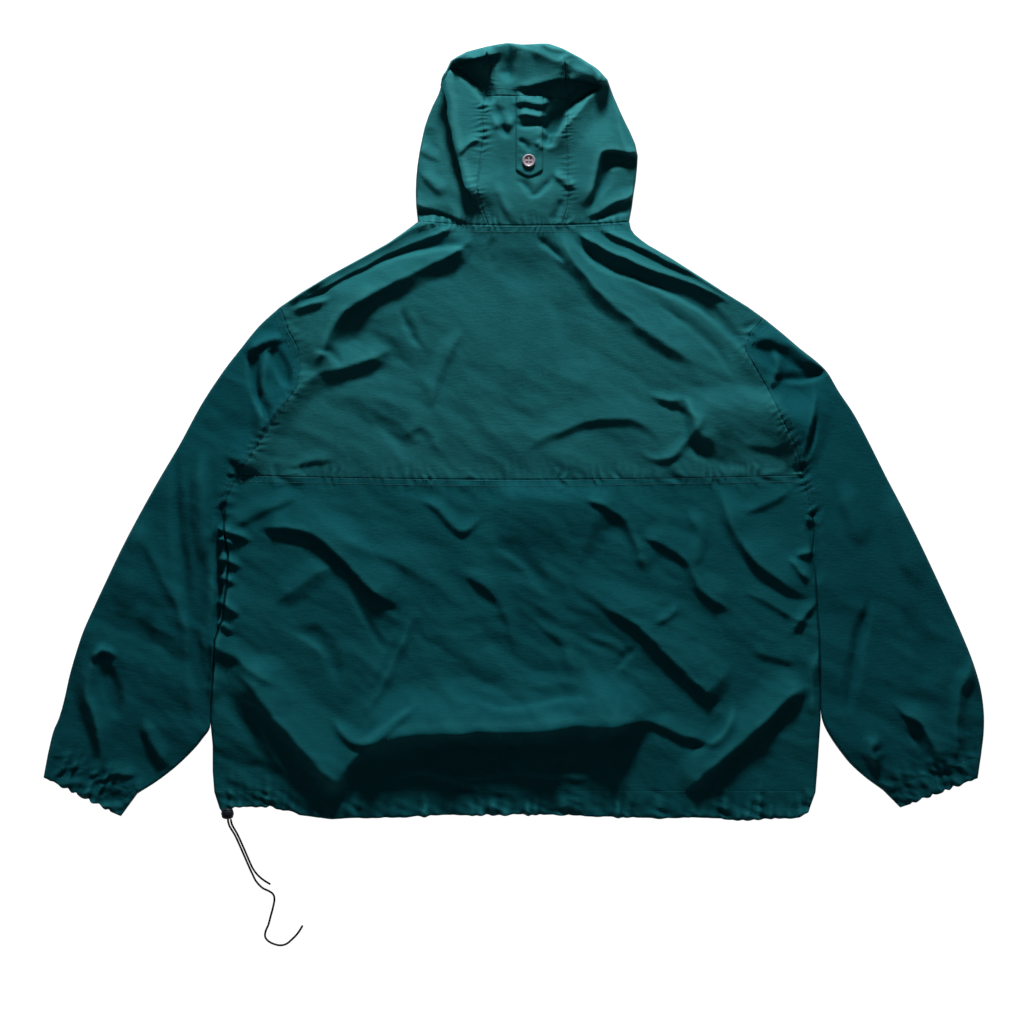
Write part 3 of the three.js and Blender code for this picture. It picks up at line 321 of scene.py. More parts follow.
HOOD_FOLDS = (
    Fold(17, 16, 14, ((-76, 426), (-60, 431), (-44, 436), (-30, 438), (-14, 435)), Crest.FIRM, 5,
         (0.2, 0.25)),
    Fold(-13, 13, 12, ((-70, 428), (-56, 417), (-42, 402), (-32, 386), (-28, 376)), Crest.FIRM, 0,
         (0.12, 0.2)),
    Fold(11, 26, 12, ((-12, 394), (12, 401), (48, 410), (78, 409), (118, 402)), Crest.FIRM, 6, (0.3, 0.06)),
    Fold(-13, 12, 16, ((104, 402), (84, 393), (66, 380), (52, 364), (40, 340)), Crest.FIRM, 0, (0.1, 0.1)),
    Fold(-9, 13, 12, ((60, 372), (48, 352), (38, 328)), Crest.FIRM, 0, (0.3, 0.15)),
    Fold(8, 30, 9, ((116, 410), (104, 402), (82, 377), (60, 352), (46, 334), (36, 322)), Crest.SHARP, 0,
         (0.05, 0.2)),
    Fold(3.5, 7, 24, ((-6, 447), (36, 431), (70, 420), (102, 407)), Crest.SHARP, 0, (0.1, 0.05)),
    Fold(12, 6, 34, ((14, 450), (56, 440), (86, 422), (106, 402)), Crest.FIRM, 0, (0.15, 0.1)),
    Fold(9, 6, 46, ((-26, 446), (-10, 448), (6, 447)), Crest.FIRM, 0, (0.3, 0.3)),
    Fold(7.5, 14, 50, ((-16, 440), (24, 436), (70, 422)), Crest.SOFT, 0, (0.2, 0.2)),
    Fold(-9, 11, 12, ((-8, 456), (-6, 438), (-6, 416), (-10, 400)), Crest.FIRM, 0, (0.05, 0.3)),
    Fold(3, 6, 6, ((26, 450), (42, 440), (60, 436)), Crest.SHARP),
    Fold(15, 34, 8, ((-84, 440), (-76, 410), (-71, 378), (-64, 335), (-55, 300), (-42, 264), (-34, 246)),
         Crest.FIRM, 9, (0.08, 0.22)),
    Fold(2.5, 9, 12, ((112, 396), (118, 372), (123, 345), (132, 326), (148, 321)), Crest.SHARP, 1,
         (0.3, 0.05)),
    Fold(9, 14, 34, ((152, 319), (120, 325), (98, 323), (92, 300), (87, 278), (74, 252)), Crest.FIRM, -3,
         (0.05, 0.25)),
    Fold(-5, 14, 10, ((146, 309), (118, 311), (104, 304), (100, 286), (90, 262)), Crest.SOFT, 0,
         (0.05, 0.3)),
    Fold(4.5, 12, 9, ((-118, 262), (-96, 258), (-74, 250), (-50, 244)), Crest.FIRM, 3, (0.05, 0.2)),
    Fold(-4, 8, 7, ((-116, 250), (-92, 252), (-66, 244)), Crest.FIRM, 0, (0.05, 0.3)),
    Fold(4.5, 10, 8, ((142, 276), (118, 266), (96, 254), (78, 246)), Crest.FIRM, -3, (0.05, 0.3)),
    Fold(-4, 8, 8, ((140, 256), (112, 252), (86, 243)), Crest.FIRM, 0, (0.05, 0.3)),
    Fold(6, 9, 9, ((-6, 378), (10, 381), (24, 378), (44, 381)), Crest.FIRM, 3),
    Fold(5.5, 7, 6, ((0, 363), (12, 366), (26, 363), (40, 365)), Crest.SHARP, 2),
    Fold(-5.5, 8, 9, ((-4, 354), (14, 352), (30, 354), (46, 346), (60, 352))),
    Fold(4, 10, 12, ((-28, 350), (-14, 357), (0, 350)), Crest.SOFT),
    Fold(-3, 5, 5, ((3, 337), (12, 330), (20, 321)), Crest.SHARP),
    Fold(3, 6, 6, ((24, 334), (30, 328), (36, 330)), Crest.SHARP),
    Fold(-4.5, 8, 9, ((-24, 380), (-16, 360), (-12, 346), (-4, 337))),
    Fold(-4.5, 9, 8, ((52, 366), (46, 352), (40, 338), (34, 328))),
    Fold(4, 6, 7, ((-60, 318), (-52, 330), (-42, 335), (-32, 332)), Crest.SHARP, 1),
    Fold(-4, 7, 7, ((-4, 288), (10, 285), (22, 273), (34, 281), (46, 296)), Crest.SHARP),
    Fold(2, 9, 9, ((-22, 290), (-16, 270), (-8, 252), (2, 244)), Crest.SOFT),
    Fold(4, 8, 9, ((44, 300), (58, 286), (72, 280)), Crest.SOFT),
    Fold(-1.5, 8, 8, ((-34, 262), (-28, 250), (-22, 240)), Crest.SHARP),
    Fold(-3, 8, 8, ((56, 268), (50, 252), (42, 238)), Crest.SHARP),
    Fold(3, 10, 10, ((-110, 300), (-96, 286), (-80, 270)), Crest.SOFT),
    Fold(2, 9, 9, ((-112, 330), (-98, 318), (-84, 312)), Crest.SOFT),
    Fold(-2, 12, 12, ((-100, 356), (-96, 330), (-98, 300)), Crest.SOFT),
)

CALM_PLACES = (
    (10, 110, 130, 0.55), (0, 320, 120, 0.65), (-440, -80, 130, 0.5), (450, -80, 130, 0.6), (0, 450, 60, 0.5),
)

YOKE_SEAM = ((-320, -51.5), (-200, -54), (0, -57), (200, -54), (334, -51.5))
NECK_SEAM = ((-112, 241.5), (-60, 238), (10, 237), (80, 238), (133, 241.5))
HOOD_SEAM_LEFT = tuple((row[0], row[1]) for row in HOOD)
HOOD_SEAM_RIGHT = tuple((row[4], row[5]) for row in HOOD)
CROSS_SEAM = ((-34, 387.5), (0, 386.8), (30, 385.8), (62, 384.5))


@dataclass(frozen=True)
class Seam:
    """A sewn line: a groove with puckers beside it, and rows of stitches at offsets from it."""

    line: tuple[tuple[float, float], ...]
    groove: float
    pucker: float
    wavelength: float
    reach: float
    rows: tuple[float, ...]
    seed: int


def armhole_line(side: str) -> tuple[tuple[float, float], ...]:
    """Corners of an armhole from the armpit up to the shoulder tip."""
    column = 1 if side == "left" else 2
    rows = BODY[(BODY[:, 0] >= ARMPIT_Y) & (BODY[:, 0] <= SHOULDER_TIP_Y[side])]
    return tuple((row[column], row[0]) for row in rows)


SEAMS = {
    "yoke": Seam(YOKE_SEAM, 0.4, 1.5, 10, 15, (-1.6, -7.6), 11),
    "neck": Seam(NECK_SEAM, 0.4, 1.3, 8, 10, (-1.6, -7.6), 12),
    "hood_left": Seam(HOOD_SEAM_LEFT, 0.3, 1.7, 5.2, 8.5, (2.0, -4.0), 13),
    "hood_right": Seam(HOOD_SEAM_RIGHT, 0.3, 1.5, 5.2, 8.5, (-2.0, 4.0), 14),
    "cross": Seam(CROSS_SEAM, 0.4, 0.7, 9, 7, (1.6, 8.4), 15),
    "armhole_left": Seam(armhole_line("left"), 0.4, 1.6, 8, 11, (1.8, 7.6), 16),
    "armhole_right": Seam(armhole_line("right"), 0.4, 1.5, 8, 11, (-1.8, -7.6), 17),
}


def smoothstep(share: np.ndarray) -> np.ndarray:
    """Eases from 0 to 1 as three squares less two cubes of the share."""
    inside = np.clip(share, 0, 1)
    return inside * inside * (3 - 2 * inside)


def smooth_line(places: np.ndarray, per_span: int = 8) -> np.ndarray:
    """A curve through all places, as Catmull and Rom's cubic blend of each four neighbours.

    Args:
        places: one place a row.
        per_span: points made between two places.

    Returns:
        The curve's points, one a row.
    """
    places = np.asarray(places, float)
    ends = np.vstack([2 * places[0] - places[1], places, 2 * places[-1] - places[-2]])
    a, b, c, d = (ends[k:k + len(places) - 1, None, :] for k in range(4))
    t = np.linspace(0, 1, per_span, endpoint=False)[None, :, None]
    curve = 0.5 * (2 * b + (c - a) * t + (2 * a - 5 * b + 4 * c - d) * t**2 + (3 * b - a - 3 * c + d) * t**3)
    return np.vstack([curve.reshape(-1, places.shape[1]), places[-1:]])


def trace(line: np.ndarray, x: np.ndarray, y: np.ndarray) -> tuple[np.ndarray, np.ndarray]:
    """Where places lie against a line: the nearest of the feet on its straight stretches.

    Args:
        line: the line's points, one a row.
        x: the places' x, flat.
        y: the places' y, flat.

    Returns:
        The distance aside, above 0 on the left, and the length along the line.
    """
    step = np.diff(line, axis=0)
    length = np.hypot(step[:, 0], step[:, 1]) + 1e-9
    start = np.concatenate([[0], np.cumsum(length)[:-1]])
    rel_x = x[:, None] - line[None, :-1, 0]
    rel_y = y[:, None] - line[None, :-1, 1]
    share = np.clip((rel_x * step[:, 0] + rel_y * step[:, 1]) / length**2, 0, 1)
    off = np.hypot(rel_x - share * step[:, 0], rel_y - share * step[:, 1])
    best = off.argmin(axis=1)
    pick = np.arange(len(x)), best
    cross = step[best, 0] * rel_y[pick] - step[best, 1] * rel_x[pick]
    return np.sign(cross) * off[pick], start[best] + share[pick] * length[best]


class ValueNoise:
    """Smooth random heights: lattice values eased into each other."""

    SIZE = 128

    def __init__(self, seed: int) -> None:
        """Draws the lattice values from a seed."""
        self.values = np.random.default_rng(seed).uniform(-1, 1, (self.SIZE, self.SIZE))

    def at(self, x: np.ndarray, y: np.ndarray) -> np.ndarray:
        """The eased mix of the four lattice values round each place."""
        i, j = np.floor(x).astype(int), np.floor(y).astype(int)
        u, v = smoothstep(x - i), smoothstep(y - j)
        value = lambda a, b: self.values[(i + a) % self.SIZE, (j + b) % self.SIZE]
        low = value(0, 0) * (1 - u) + value(1, 0) * u
        high = value(0, 1) * (1 - u) + value(1, 1) * u
        return low * (1 - v) + high * v


class Facets(ValueNoise):
    """Crumpled cloth: random heights on a triangle lattice, joined by flat facets."""

    def at(self, x: np.ndarray, y: np.ndarray) -> np.ndarray:
        """Each place's height on its triangle's plane, by its three shares."""
        skew_x, skew_y = x + y * 0.577, y * 1.155
        i, j = np.floor(skew_x).astype(int), np.floor(skew_y).astype(int)
        u, v = skew_x - i, skew_y - j
        value = lambda a, b: self.values[(i + a) % self.SIZE, (j + b) % self.SIZE]
        lower = value(0, 0) * (1 - u - v) + value(1, 0) * u + value(0, 1) * v
        upper = value(1, 1) * (u + v - 1) + value(0, 1) * (1 - u) + value(1, 0) * (1 - v)
        return np.where(u + v < 1, lower, upper)


class Relief:
    """Height of the cloth's outer face, and its sideways lean, on a raster of 1 mm."""

    X0, Y0, WIDTH, DEPTH = -570, -480, 1141, 951

    def __init__(self) -> None:
        """Lays the flat height of two folded layers."""
        self.x, self.y = np.meshgrid(np.arange(self.WIDTH) + self.X0, np.arange(self.DEPTH) + self.Y0)
        self.x, self.y = self.x.astype(float), self.y.astype(float)
        self.height = np.full(self.x.shape, 2 * EDGE + 1.5)
        self.lean = np.zeros((2, *self.x.shape))
        self.rag = ValueNoise(71)

    def window(self, line: np.ndarray, reach: float) -> tuple[slice, slice]:
        """The raster's rows and columns within reach of a line."""
        low = np.floor(line.min(axis=0) - reach).astype(int)
        high = np.ceil(line.max(axis=0) + reach).astype(int)
        rows = slice(max(0, low[1] - self.Y0), max(0, min(self.DEPTH, high[1] - self.Y0)))
        columns = slice(max(0, low[0] - self.X0), max(0, min(self.WIDTH, high[0] - self.X0)))
        return rows, columns

    def add_fold(self, fold: Fold) -> None:
        """Adds a fold: across it, a mix of a cosine bell and a pointed tent, by its crest.

        Args:
            fold: the ridge or trough to add.
        """
        line = smooth_line(fold.line)
        area = self.window(line, 1.6 * max(fold.left, fold.right))
        x, y = self.x[area].ravel(), self.y[area].ravel()
        ragged_x = x + 1.5 * self.rag.at(x / 19, y / 19) + 0.5 * self.rag.at(x / 6 + 20, y / 6)
        ragged_y = y + 1.5 * self.rag.at(x / 19 + 40, y / 19 + 60) + 0.5 * self.rag.at(x / 6, y / 6 + 80)
        aside, along = trace(line, ragged_x, ragged_y)
        whole = np.hypot(*np.diff(line, axis=0).T).sum()
        share = along / whole
        first, last = (max(1e-3, part) for part in fold.fades)
        fade = smoothstep(share / first) * smoothstep((1 - share) / last)
        step = np.diff(line, axis=0)
        middle = np.linspace(0, whole, len(step))
        facing = np.interp(along, middle, step[:, 0] / np.hypot(step[:, 0], step[:, 1])) * np.sign(aside)
        width = np.where(aside > 0, fold.left, fold.right) * (0.55 + 0.45 * fade) * (1.1 + 0.45 * facing)
        reach = np.clip(np.abs(aside) / width, 0, 1)
        bell = np.cos(reach * math.pi / 2) ** 2
        soft_reach = np.sqrt(reach**2 + 0.0009) - 0.03
        tent = np.clip(1 - soft_reach, 0, 1) ** 1.6
        profile = (1 - fold.crest.value) * bell + fold.crest.value * tent
        uneven = 1 + 0.18 * self.rag.at(along / 34 + fold.line[0][0], aside * 0 + fold.line[0][1])
        profile = np.where(reach < 1, profile, 0) * fade * uneven
        self.height[area] += (fold.height * profile).reshape(self.height[area].shape)
        if fold.lean:
            self.add_lean(line, area, along, profile, fold.lean)

    def add_lean(self, line: np.ndarray, area: tuple[slice, slice], along: np.ndarray,
                 profile: np.ndarray, lean: float) -> None:
        """Moves a crest towards its right flank by lean, and its flanks by less."""
        step = np.diff(line, axis=0)
        length = np.hypot(step[:, 0], step[:, 1])
        middle = np.cumsum(length) - length / 2
        right_x = np.interp(along, middle, step[:, 1] / length)
        right_y = np.interp(along, middle, -step[:, 0] / length)
        shape = self.lean[0][area].shape
        push = lean * profile**1.5
        self.lean[0][area] += (push * right_x).reshape(shape)
        self.lean[1][area] += (push * right_y).reshape(shape)

    def add_seam(self, seam: Seam) -> None:
        """Adds a seam: a groove like a bell curve, and puckers that die away beside it."""
        line = smooth_line(seam.line)
        reach = 3.2 * seam.reach
        area = self.window(line, reach)
        aside, along = trace(line, self.x[area].ravel(), self.y[area].ravel())
        noise = ValueNoise(seam.seed)
        drift = 1.4 * noise.at(along / (4 * seam.wavelength), aside * 0 + 7)
        drift = drift + 0.45 * noise.at(along / (1.3 * seam.wavelength) + 60, aside / 9 + 20)
        waves = np.sin(2 * math.pi * (along / seam.wavelength + drift) + aside / 7)
        strength = 0.35 + 0.65 * noise.at(along / (2.2 * seam.wavelength) + 31, aside / 30) ** 2 * 2
        pucker = seam.pucker * waves * strength * np.exp(-((aside / seam.reach) ** 2))
        groove = seam.groove * np.exp(-((aside / 1.6) ** 2))
        inside = np.abs(aside) < reach
        shape = self.height[area].shape
        self.height[area] += (np.where(inside, pucker - groove, 0)).reshape(shape)

    def add_hem_gathers(self) -> None:
        """Adds the hem's gathers: rounded waves across it that die away up the cloth."""
        area = (slice(0, -370 - self.Y0), slice(None))
        x, y = self.x[area], self.y[area]
        noise = ValueNoise(21)
        starts, ends, waves, depths = HEM_GATHERS.T
        knots = np.concatenate([starts, ends[-1:]])
        phases = np.concatenate([[0], np.cumsum(waves)])
        above = np.clip(y - np.interp(x, HEM_EDGE[:, 0], HEM_EDGE[:, 1]), 0, None)
        drift = 0.55 * noise.at(x / 34, y * 0 + 3) + 0.25 * noise.at(x / 50 + 9, y / 26)
        phase = np.interp(x, knots, phases) + drift
        depth = np.interp(x, (starts + ends) / 2, depths) * (0.45 + 0.75 * noise.at(x / 15 + 40, y / 90) ** 2 * 2)
        length = 20 + 12 * noise.at(x / 22 + 80, y * 0)
        wave = np.abs(np.sin(math.pi * phase)) ** 1.3
        crumple = 0.9 * Facets(22).at(x / 12 + drift, y / 9) + 0.5 * Facets(23).at(x / 6, y / 6 + drift)
        self.height[area] += depth * (wave + crumple) * np.exp(-((above / length) ** 2))

    def add_cuff_gathers(self, side: str) -> None:
        """Adds a cuff's gathers: waves across the sleeve that die away up it."""
        outer_x, outer_y, inner_x, inner_y = CUFFS[side][0]
        far = CUFFS[side][1]
        across = np.array([inner_x - outer_x, inner_y - outer_y])
        width = np.hypot(*across)
        across = across / width
        axis = np.array([(far[0] + far[2] - outer_x - inner_x) / 2, (far[1] + far[3] - outer_y - inner_y) / 2])
        axis = axis / np.hypot(*axis)
        corners = np.array([(outer_x, outer_y), (inner_x, inner_y), (far[0], far[1]), (far[2], far[3])])
        area = self.window(corners, 60)
        x, y = self.x[area] - outer_x, self.y[area] - outer_y
        noise = ValueNoise(31 if side == "left" else 32)
        place = x * across[0] + y * across[1]
        down = x * axis[0] + y * axis[1]
        phase = 9 * place / width + 0.5 * noise.at(place / 22, down / 40)
        fade = np.exp(-((np.clip(-down, 0, None) / 17) ** 2)) * (0.55 + 0.45 * smoothstep((down + 14) / 30))
        depth = 4.2 * (0.5 + noise.at(place / 12 + 50, down / 60) ** 2)
        inside = smoothstep((place + 6) / 10) * smoothstep((width + 6 - place) / 10)
        wave = np.abs(np.sin(math.pi * phase)) ** 1.3 + 0.7 * Facets(33).at(place / 7, down / 8)
        self.height[area] += depth * wave * fade * inside

    def add_crumpling(self) -> None:
        """Adds flat facets of four sizes, their lattices bent by smooth noise, and fine waves."""
        bend = ValueNoise(41)
        bent_x = self.x + 8 * bend.at(self.x / 95, self.y / 95) + 3 * bend.at(self.x / 23 + 50, self.y / 23)
        bent_y = self.y + 8 * bend.at(self.x / 95 + 30, self.y / 95 + 60) + 3 * bend.at(self.x / 23, self.y / 23 + 50)
        where = 0.55 + 0.45 * bend.at(self.x / 120 + 11, self.y / 120 + 5)
        for x, y, radius, calm in CALM_PLACES:
            where = where * (1 - calm * np.exp(-((self.x - x) ** 2 + (self.y - y) ** 2) / radius**2))
        for size, depth, seed in ((84, 3.4, 42), (41, 2.5, 43), (19, 1.35, 44), (9, 0.45, 46)):
            self.height += depth * where * Facets(seed).at(bent_x / size, bent_y / size)
        self.height += 0.12 * ValueNoise(45).at(self.x / 7, self.y / 7)

    def finish(self) -> None:
        """Keeps the cloth off the floor, rounds the raster a little, and works out its wear and shade: above 0 on
        crests, read as wear, and below 0 in hollows, read as painted shade.
        """
        floor = 5.2
        low = self.height - floor
        self.height = floor + np.where(low > 1, low, np.exp(np.minimum(low, 1) - 1))
        for axis in (0, 1):
            for layer in (self.height, self.lean[0], self.lean[1]):
                layer[:] = (np.roll(layer, 1, axis) + 2 * layer + np.roll(layer, -1, axis)) / 4
        wide = self.height.copy()
        for _ in range(6):
            for axis in (0, 1):
                wide = (np.roll(wide, 2, axis) + wide + np.roll(wide, -2, axis)) / 3
        # Above 0 on the relief's crests, for wear; below 0 in its hollows, where the colour is darkened as painted
        # shade.
        self.wear_and_shade = np.clip((self.height - wide) / 1.6, -1, 1)

    def read(self, layer: np.ndarray, x: np.ndarray, y: np.ndarray) -> np.ndarray:
        """A raster layer between its points, by the straight mix of the four round each."""
        u = np.clip(x - self.X0, 0, self.WIDTH - 1.001)
        v = np.clip(y - self.Y0, 0, self.DEPTH - 1.001)
        i, j = u.astype(int), v.astype(int)
        u, v = u - i, v - j
        low = layer[j, i] * (1 - u) + layer[j, i + 1] * u
        high = layer[j + 1, i] * (1 - u) + layer[j + 1, i + 1] * u
        return low * (1 - v) + high * v

    def top(self, x: np.ndarray, y: np.ndarray) -> np.ndarray:
        """Height of the upper layer over each place."""
        return self.read(self.height, x, y)


def make_relief() -> Relief:
    """The whole garment's relief, from its tables."""
    relief = Relief()
    for fold in (*SWELLINGS, *YOKE_FOLDS, *LOWER_FOLDS, *SLEEVE_FOLDS, *HOOD_FOLDS):
        relief.add_fold(fold)
    relief.add_crumpling()
    relief.add_hem_gathers()
    relief.add_cuff_gathers("left")
    relief.add_cuff_gathers("right")
    for seam in SEAMS.values():
        relief.add_seam(seam)
    relief.finish()
    return relief


@dataclass(frozen=True)
class Finish:
    """A surface finish, from which its material is built once."""

    name: str
    slot: str

    def material(self) -> bpy.types.Material:
        """The finish's material, made the first time it is asked for."""
        made = bpy.data.materials.get(self.name)
        if made is None:
            made = bpy.data.materials.new(self.name)
            made.use_nodes = True
            self.wire(made.node_tree)
        return made

    def wire(self, tree: bpy.types.NodeTree) -> None:
        """Adds the finish's nodes to the material's tree."""
        raise NotImplementedError


def add_node(tree: bpy.types.NodeTree, kind: str, **values: object) -> bpy.types.Node:
    """Adds a node, sets its properties, and its inputs where a value's name is one.

    Args:
        tree: the node tree to add to.
        kind: Blender's name of the node's type.
        values: property or input names, with _ for each space, and their values.

    Returns:
        The new node.
    """
    node = tree.nodes.new(kind)
    for key, value in values.items():
        if hasattr(node, key):
            setattr(node, key, value)
        else:
            node.inputs[key.replace("_", " ")].default_value = value
    return node


class EffectGroups:
    """The shader node groups that several finishes share."""

    @staticmethod
    def weave() -> bpy.types.NodeTree:
        """Plain weave: warp and weft yarns as two sine waves that take turns on top."""
        made = bpy.data.node_groups.get("plain_weave")
        if made is not None:
            return made
        group = bpy.data.node_groups.new("plain_weave", "ShaderNodeTree")
        yarn = group.interface.new_socket("Yarn", in_out="INPUT", socket_type="NodeSocketFloat")
        yarn.default_value = 0.0005
        group.interface.new_socket("Height", in_out="OUTPUT", socket_type="NodeSocketFloat")
        enter = group.nodes.new("NodeGroupInput")
        leave = group.nodes.new("NodeGroupOutput")
        uv = add_node(group, "ShaderNodeUVMap", uv_map="cloth")
        split = add_node(group, "ShaderNodeSeparateXYZ")
        group.links.new(uv.outputs["UV"], split.inputs[0])
        waves = []
        for axis in ("X", "Y"):
            turns = add_node(group, "ShaderNodeMath", operation="DIVIDE")
            angle = add_node(group, "ShaderNodeMath", operation="MULTIPLY")
            angle.inputs[1].default_value = math.pi
            wave = add_node(group, "ShaderNodeMath", operation="SINE")
            group.links.new(split.outputs[axis], turns.inputs[0])
            group.links.new(enter.outputs["Yarn"], turns.inputs[1])
            group.links.new(turns.outputs[0], angle.inputs[0])
            group.links.new(angle.outputs[0], wave.inputs[0])
            waves.append(wave)
        product = add_node(group, "ShaderNodeMath", operation="MULTIPLY")
        group.links.new(waves[0].outputs[0], product.inputs[0])
        group.links.new(waves[1].outputs[0], product.inputs[1])
        group.links.new(product.outputs[0], leave.inputs["Height"])
        return group

    @staticmethod
    def mottle_wear_and_shade() -> bpy.types.NodeTree:
        """Uneven dye, crest wear and painted shade: a tint that follows two noises and the cloth's own creases,
        lighter on crests and darkened in hollows as painted shade.
        """
        made = bpy.data.node_groups.get("dye_wear_and_painted_shade")
        if made is not None:
            return made
        group = bpy.data.node_groups.new("dye_wear_and_painted_shade", "ShaderNodeTree")
        new = group.interface.new_socket
        new("Base", in_out="INPUT", socket_type="NodeSocketColor")
        new("Worn", in_out="INPUT", socket_type="NodeSocketColor")
        new("Dark dye and shade", in_out="INPUT", socket_type="NodeSocketColor")
        new("Color", in_out="OUTPUT", socket_type="NodeSocketColor")
        enter = group.nodes.new("NodeGroupInput")
        leave = group.nodes.new("NodeGroupOutput")
        place = add_node(group, "ShaderNodeTexCoord")
        broad = add_node(group, "ShaderNodeTexNoise", Scale=14.0, Detail=4.0, Roughness=0.55)
        fine = add_node(group, "ShaderNodeTexNoise", Scale=420.0, Detail=3.0, Roughness=0.7)
        wear_and_shade = add_node(group, "ShaderNodeAttribute", attribute_name="wear_and_shade")
        for noise in (broad, fine):
            group.links.new(place.outputs["Object"], noise.inputs["Vector"])
        blend = add_node(group, "ShaderNodeMath", operation="MULTIPLY_ADD")
        blend.inputs[1].default_value = 0.5
        group.links.new(fine.outputs["Fac"], blend.inputs[0])
        group.links.new(broad.outputs["Fac"], blend.inputs[2])
        base, worn, dark_dye_and_shade = (enter.outputs[name] for name in ("Base", "Worn", "Dark dye and shade"))
        dyed = EffectGroups.fade(group, blend.outputs[0], (0.5, 1.0), 0.45, base, dark_dye_and_shade)
        rubbed = EffectGroups.fade(group, wear_and_shade.outputs["Fac"], (0.0, 1.0), 0.55, dyed, worn)
        # Painted shade: hollows of the relief are darkened towards the dark colour.
        shaded_hollows = EffectGroups.fade(group, wear_and_shade.outputs["Fac"], (0.0, -1.0), 0.6, rubbed, dark_dye_and_shade)
        group.links.new(shaded_hollows, leave.inputs["Color"])
        return group

    @staticmethod
    def fade(group: bpy.types.NodeTree, amount: bpy.types.NodeSocket, span: tuple[float, float], most: float,
             first: bpy.types.NodeSocket, second: bpy.types.NodeSocket) -> bpy.types.NodeSocket:
        """Adds a mix of two colours whose share runs from 0 to most as an amount crosses a span.

        Args:
            group: the node tree to add to.
            amount: what decides the share.
            span: the amounts where the share starts and ends.
            most: the largest share of the second colour.
            first: the first colour.
            second: the second colour.

        Returns:
            The mixed colour.
        """
        stretch = add_node(group, "ShaderNodeMapRange")
        stretch.inputs["From Min"].default_value, stretch.inputs["From Max"].default_value = span
        stretch.inputs["To Max"].default_value = most
        mix = add_node(group, "ShaderNodeMix", data_type="RGBA")
        group.links.new(amount, stretch.inputs["Value"])
        group.links.new(stretch.outputs[0], mix.inputs["Factor"])
        group.links.new(first, mix.inputs[6])
        group.links.new(second, mix.inputs[7])
        return mix.outputs[2]


@dataclass(frozen=True)
class NylonFinish(Finish):
    """Woven nylon with a dry hand: matt, with a little sheen and fine crinkle."""

    base: tuple[float, float, float] = (0.0090, 0.082, 0.090)
    worn: tuple[float, float, float] = (0.0170, 0.118, 0.126)
    # The dark colour serves both the random dye mottle and painted shade in hollows.
    dark_dye_and_shade: tuple[float, float, float] = (0.0035, 0.050, 0.058)
    roughness: float = 0.68
    gloss: float = 0.05

    def wire(self, tree: bpy.types.NodeTree) -> None:
        """Mottled dye, crest wear and painted shade in hollows into the colour, and weave and crinkle into the bump.
        """
        shader = tree.nodes["Principled BSDF"]
        shader.inputs["Roughness"].default_value = self.roughness
        shader.inputs["Specular IOR Level"].default_value = self.gloss
        shader.inputs["Specular Tint"].default_value = (0.10, 0.85, 0.95, 1)
        tint = add_node(tree, "ShaderNodeGroup", node_tree=EffectGroups.mottle_wear_and_shade())
        tint.inputs["Base"].default_value = (*self.base, 1)
        tint.inputs["Worn"].default_value = (*self.worn, 1)
        tint.inputs["Dark dye and shade"].default_value = (*self.dark_dye_and_shade, 1)
        tree.links.new(tint.outputs["Color"], shader.inputs["Base Color"])
        weave = add_node(tree, "ShaderNodeGroup", node_tree=EffectGroups.weave())
        place = add_node(tree, "ShaderNodeTexCoord")
        crinkle = add_node(tree, "ShaderNodeTexNoise", Scale=260.0, Detail=4.0, Roughness=0.6)
        stretch = add_node(tree, "ShaderNodeMapping", Scale=(0.5, 1.5, 1.0))
        tree.links.new(place.outputs["Object"], stretch.inputs["Vector"])
        tree.links.new(stretch.outputs["Vector"], crinkle.inputs["Vector"])
        yarns = add_node(tree, "ShaderNodeBump", Strength=0.35, Distance=0.0002)
        creased = add_node(tree, "ShaderNodeBump", Strength=0.55, Distance=0.0007)
        tree.links.new(weave.outputs["Height"], yarns.inputs["Height"])
        tree.links.new(crinkle.outputs["Fac"], creased.inputs["Height"])
        tree.links.new(yarns.outputs["Normal"], creased.inputs["Normal"])
        tree.links.new(creased.outputs["Normal"], shader.inputs["Normal"])


@dataclass(frozen=True)
class PlainFinish(Finish):
    """Thread, cord or moulded plastic: one colour, mottled, with a fine grain."""

    base: tuple[float, float, float] = (0.02, 0.12, 0.13)
    shade: tuple[float, float, float] = (0.01, 0.08, 0.09)
    roughness: float = 0.5
    grain: float = 900.0
    depth: float = 0.0001
    coat: float = 0.0
    gloss: float = 0.3

    def wire(self, tree: bpy.types.NodeTree) -> None:
        """A noise mixes two shades and raises the grain."""
        shader = tree.nodes["Principled BSDF"]
        shader.inputs["Roughness"].default_value = self.roughness
        shader.inputs["Coat Weight"].default_value = self.coat
        shader.inputs["Specular IOR Level"].default_value = self.gloss
        place = add_node(tree, "ShaderNodeTexCoord")
        noise = add_node(tree, "ShaderNodeTexNoise", Scale=self.grain, Detail=3.0)
        mix = add_node(tree, "ShaderNodeMix", data_type="RGBA")
        mix.inputs[6].default_value = (*self.base, 1)
        mix.inputs[7].default_value = (*self.shade, 1)
        bump = add_node(tree, "ShaderNodeBump", Strength=0.5, Distance=self.depth)
        tree.links.new(place.outputs["Object"], noise.inputs["Vector"])
        tree.links.new(noise.outputs["Fac"], mix.inputs["Factor"])
        tree.links.new(mix.outputs[2], shader.inputs["Base Color"])
        tree.links.new(noise.outputs["Fac"], bump.inputs["Height"])
        tree.links.new(bump.outputs["Normal"], shader.inputs["Normal"])


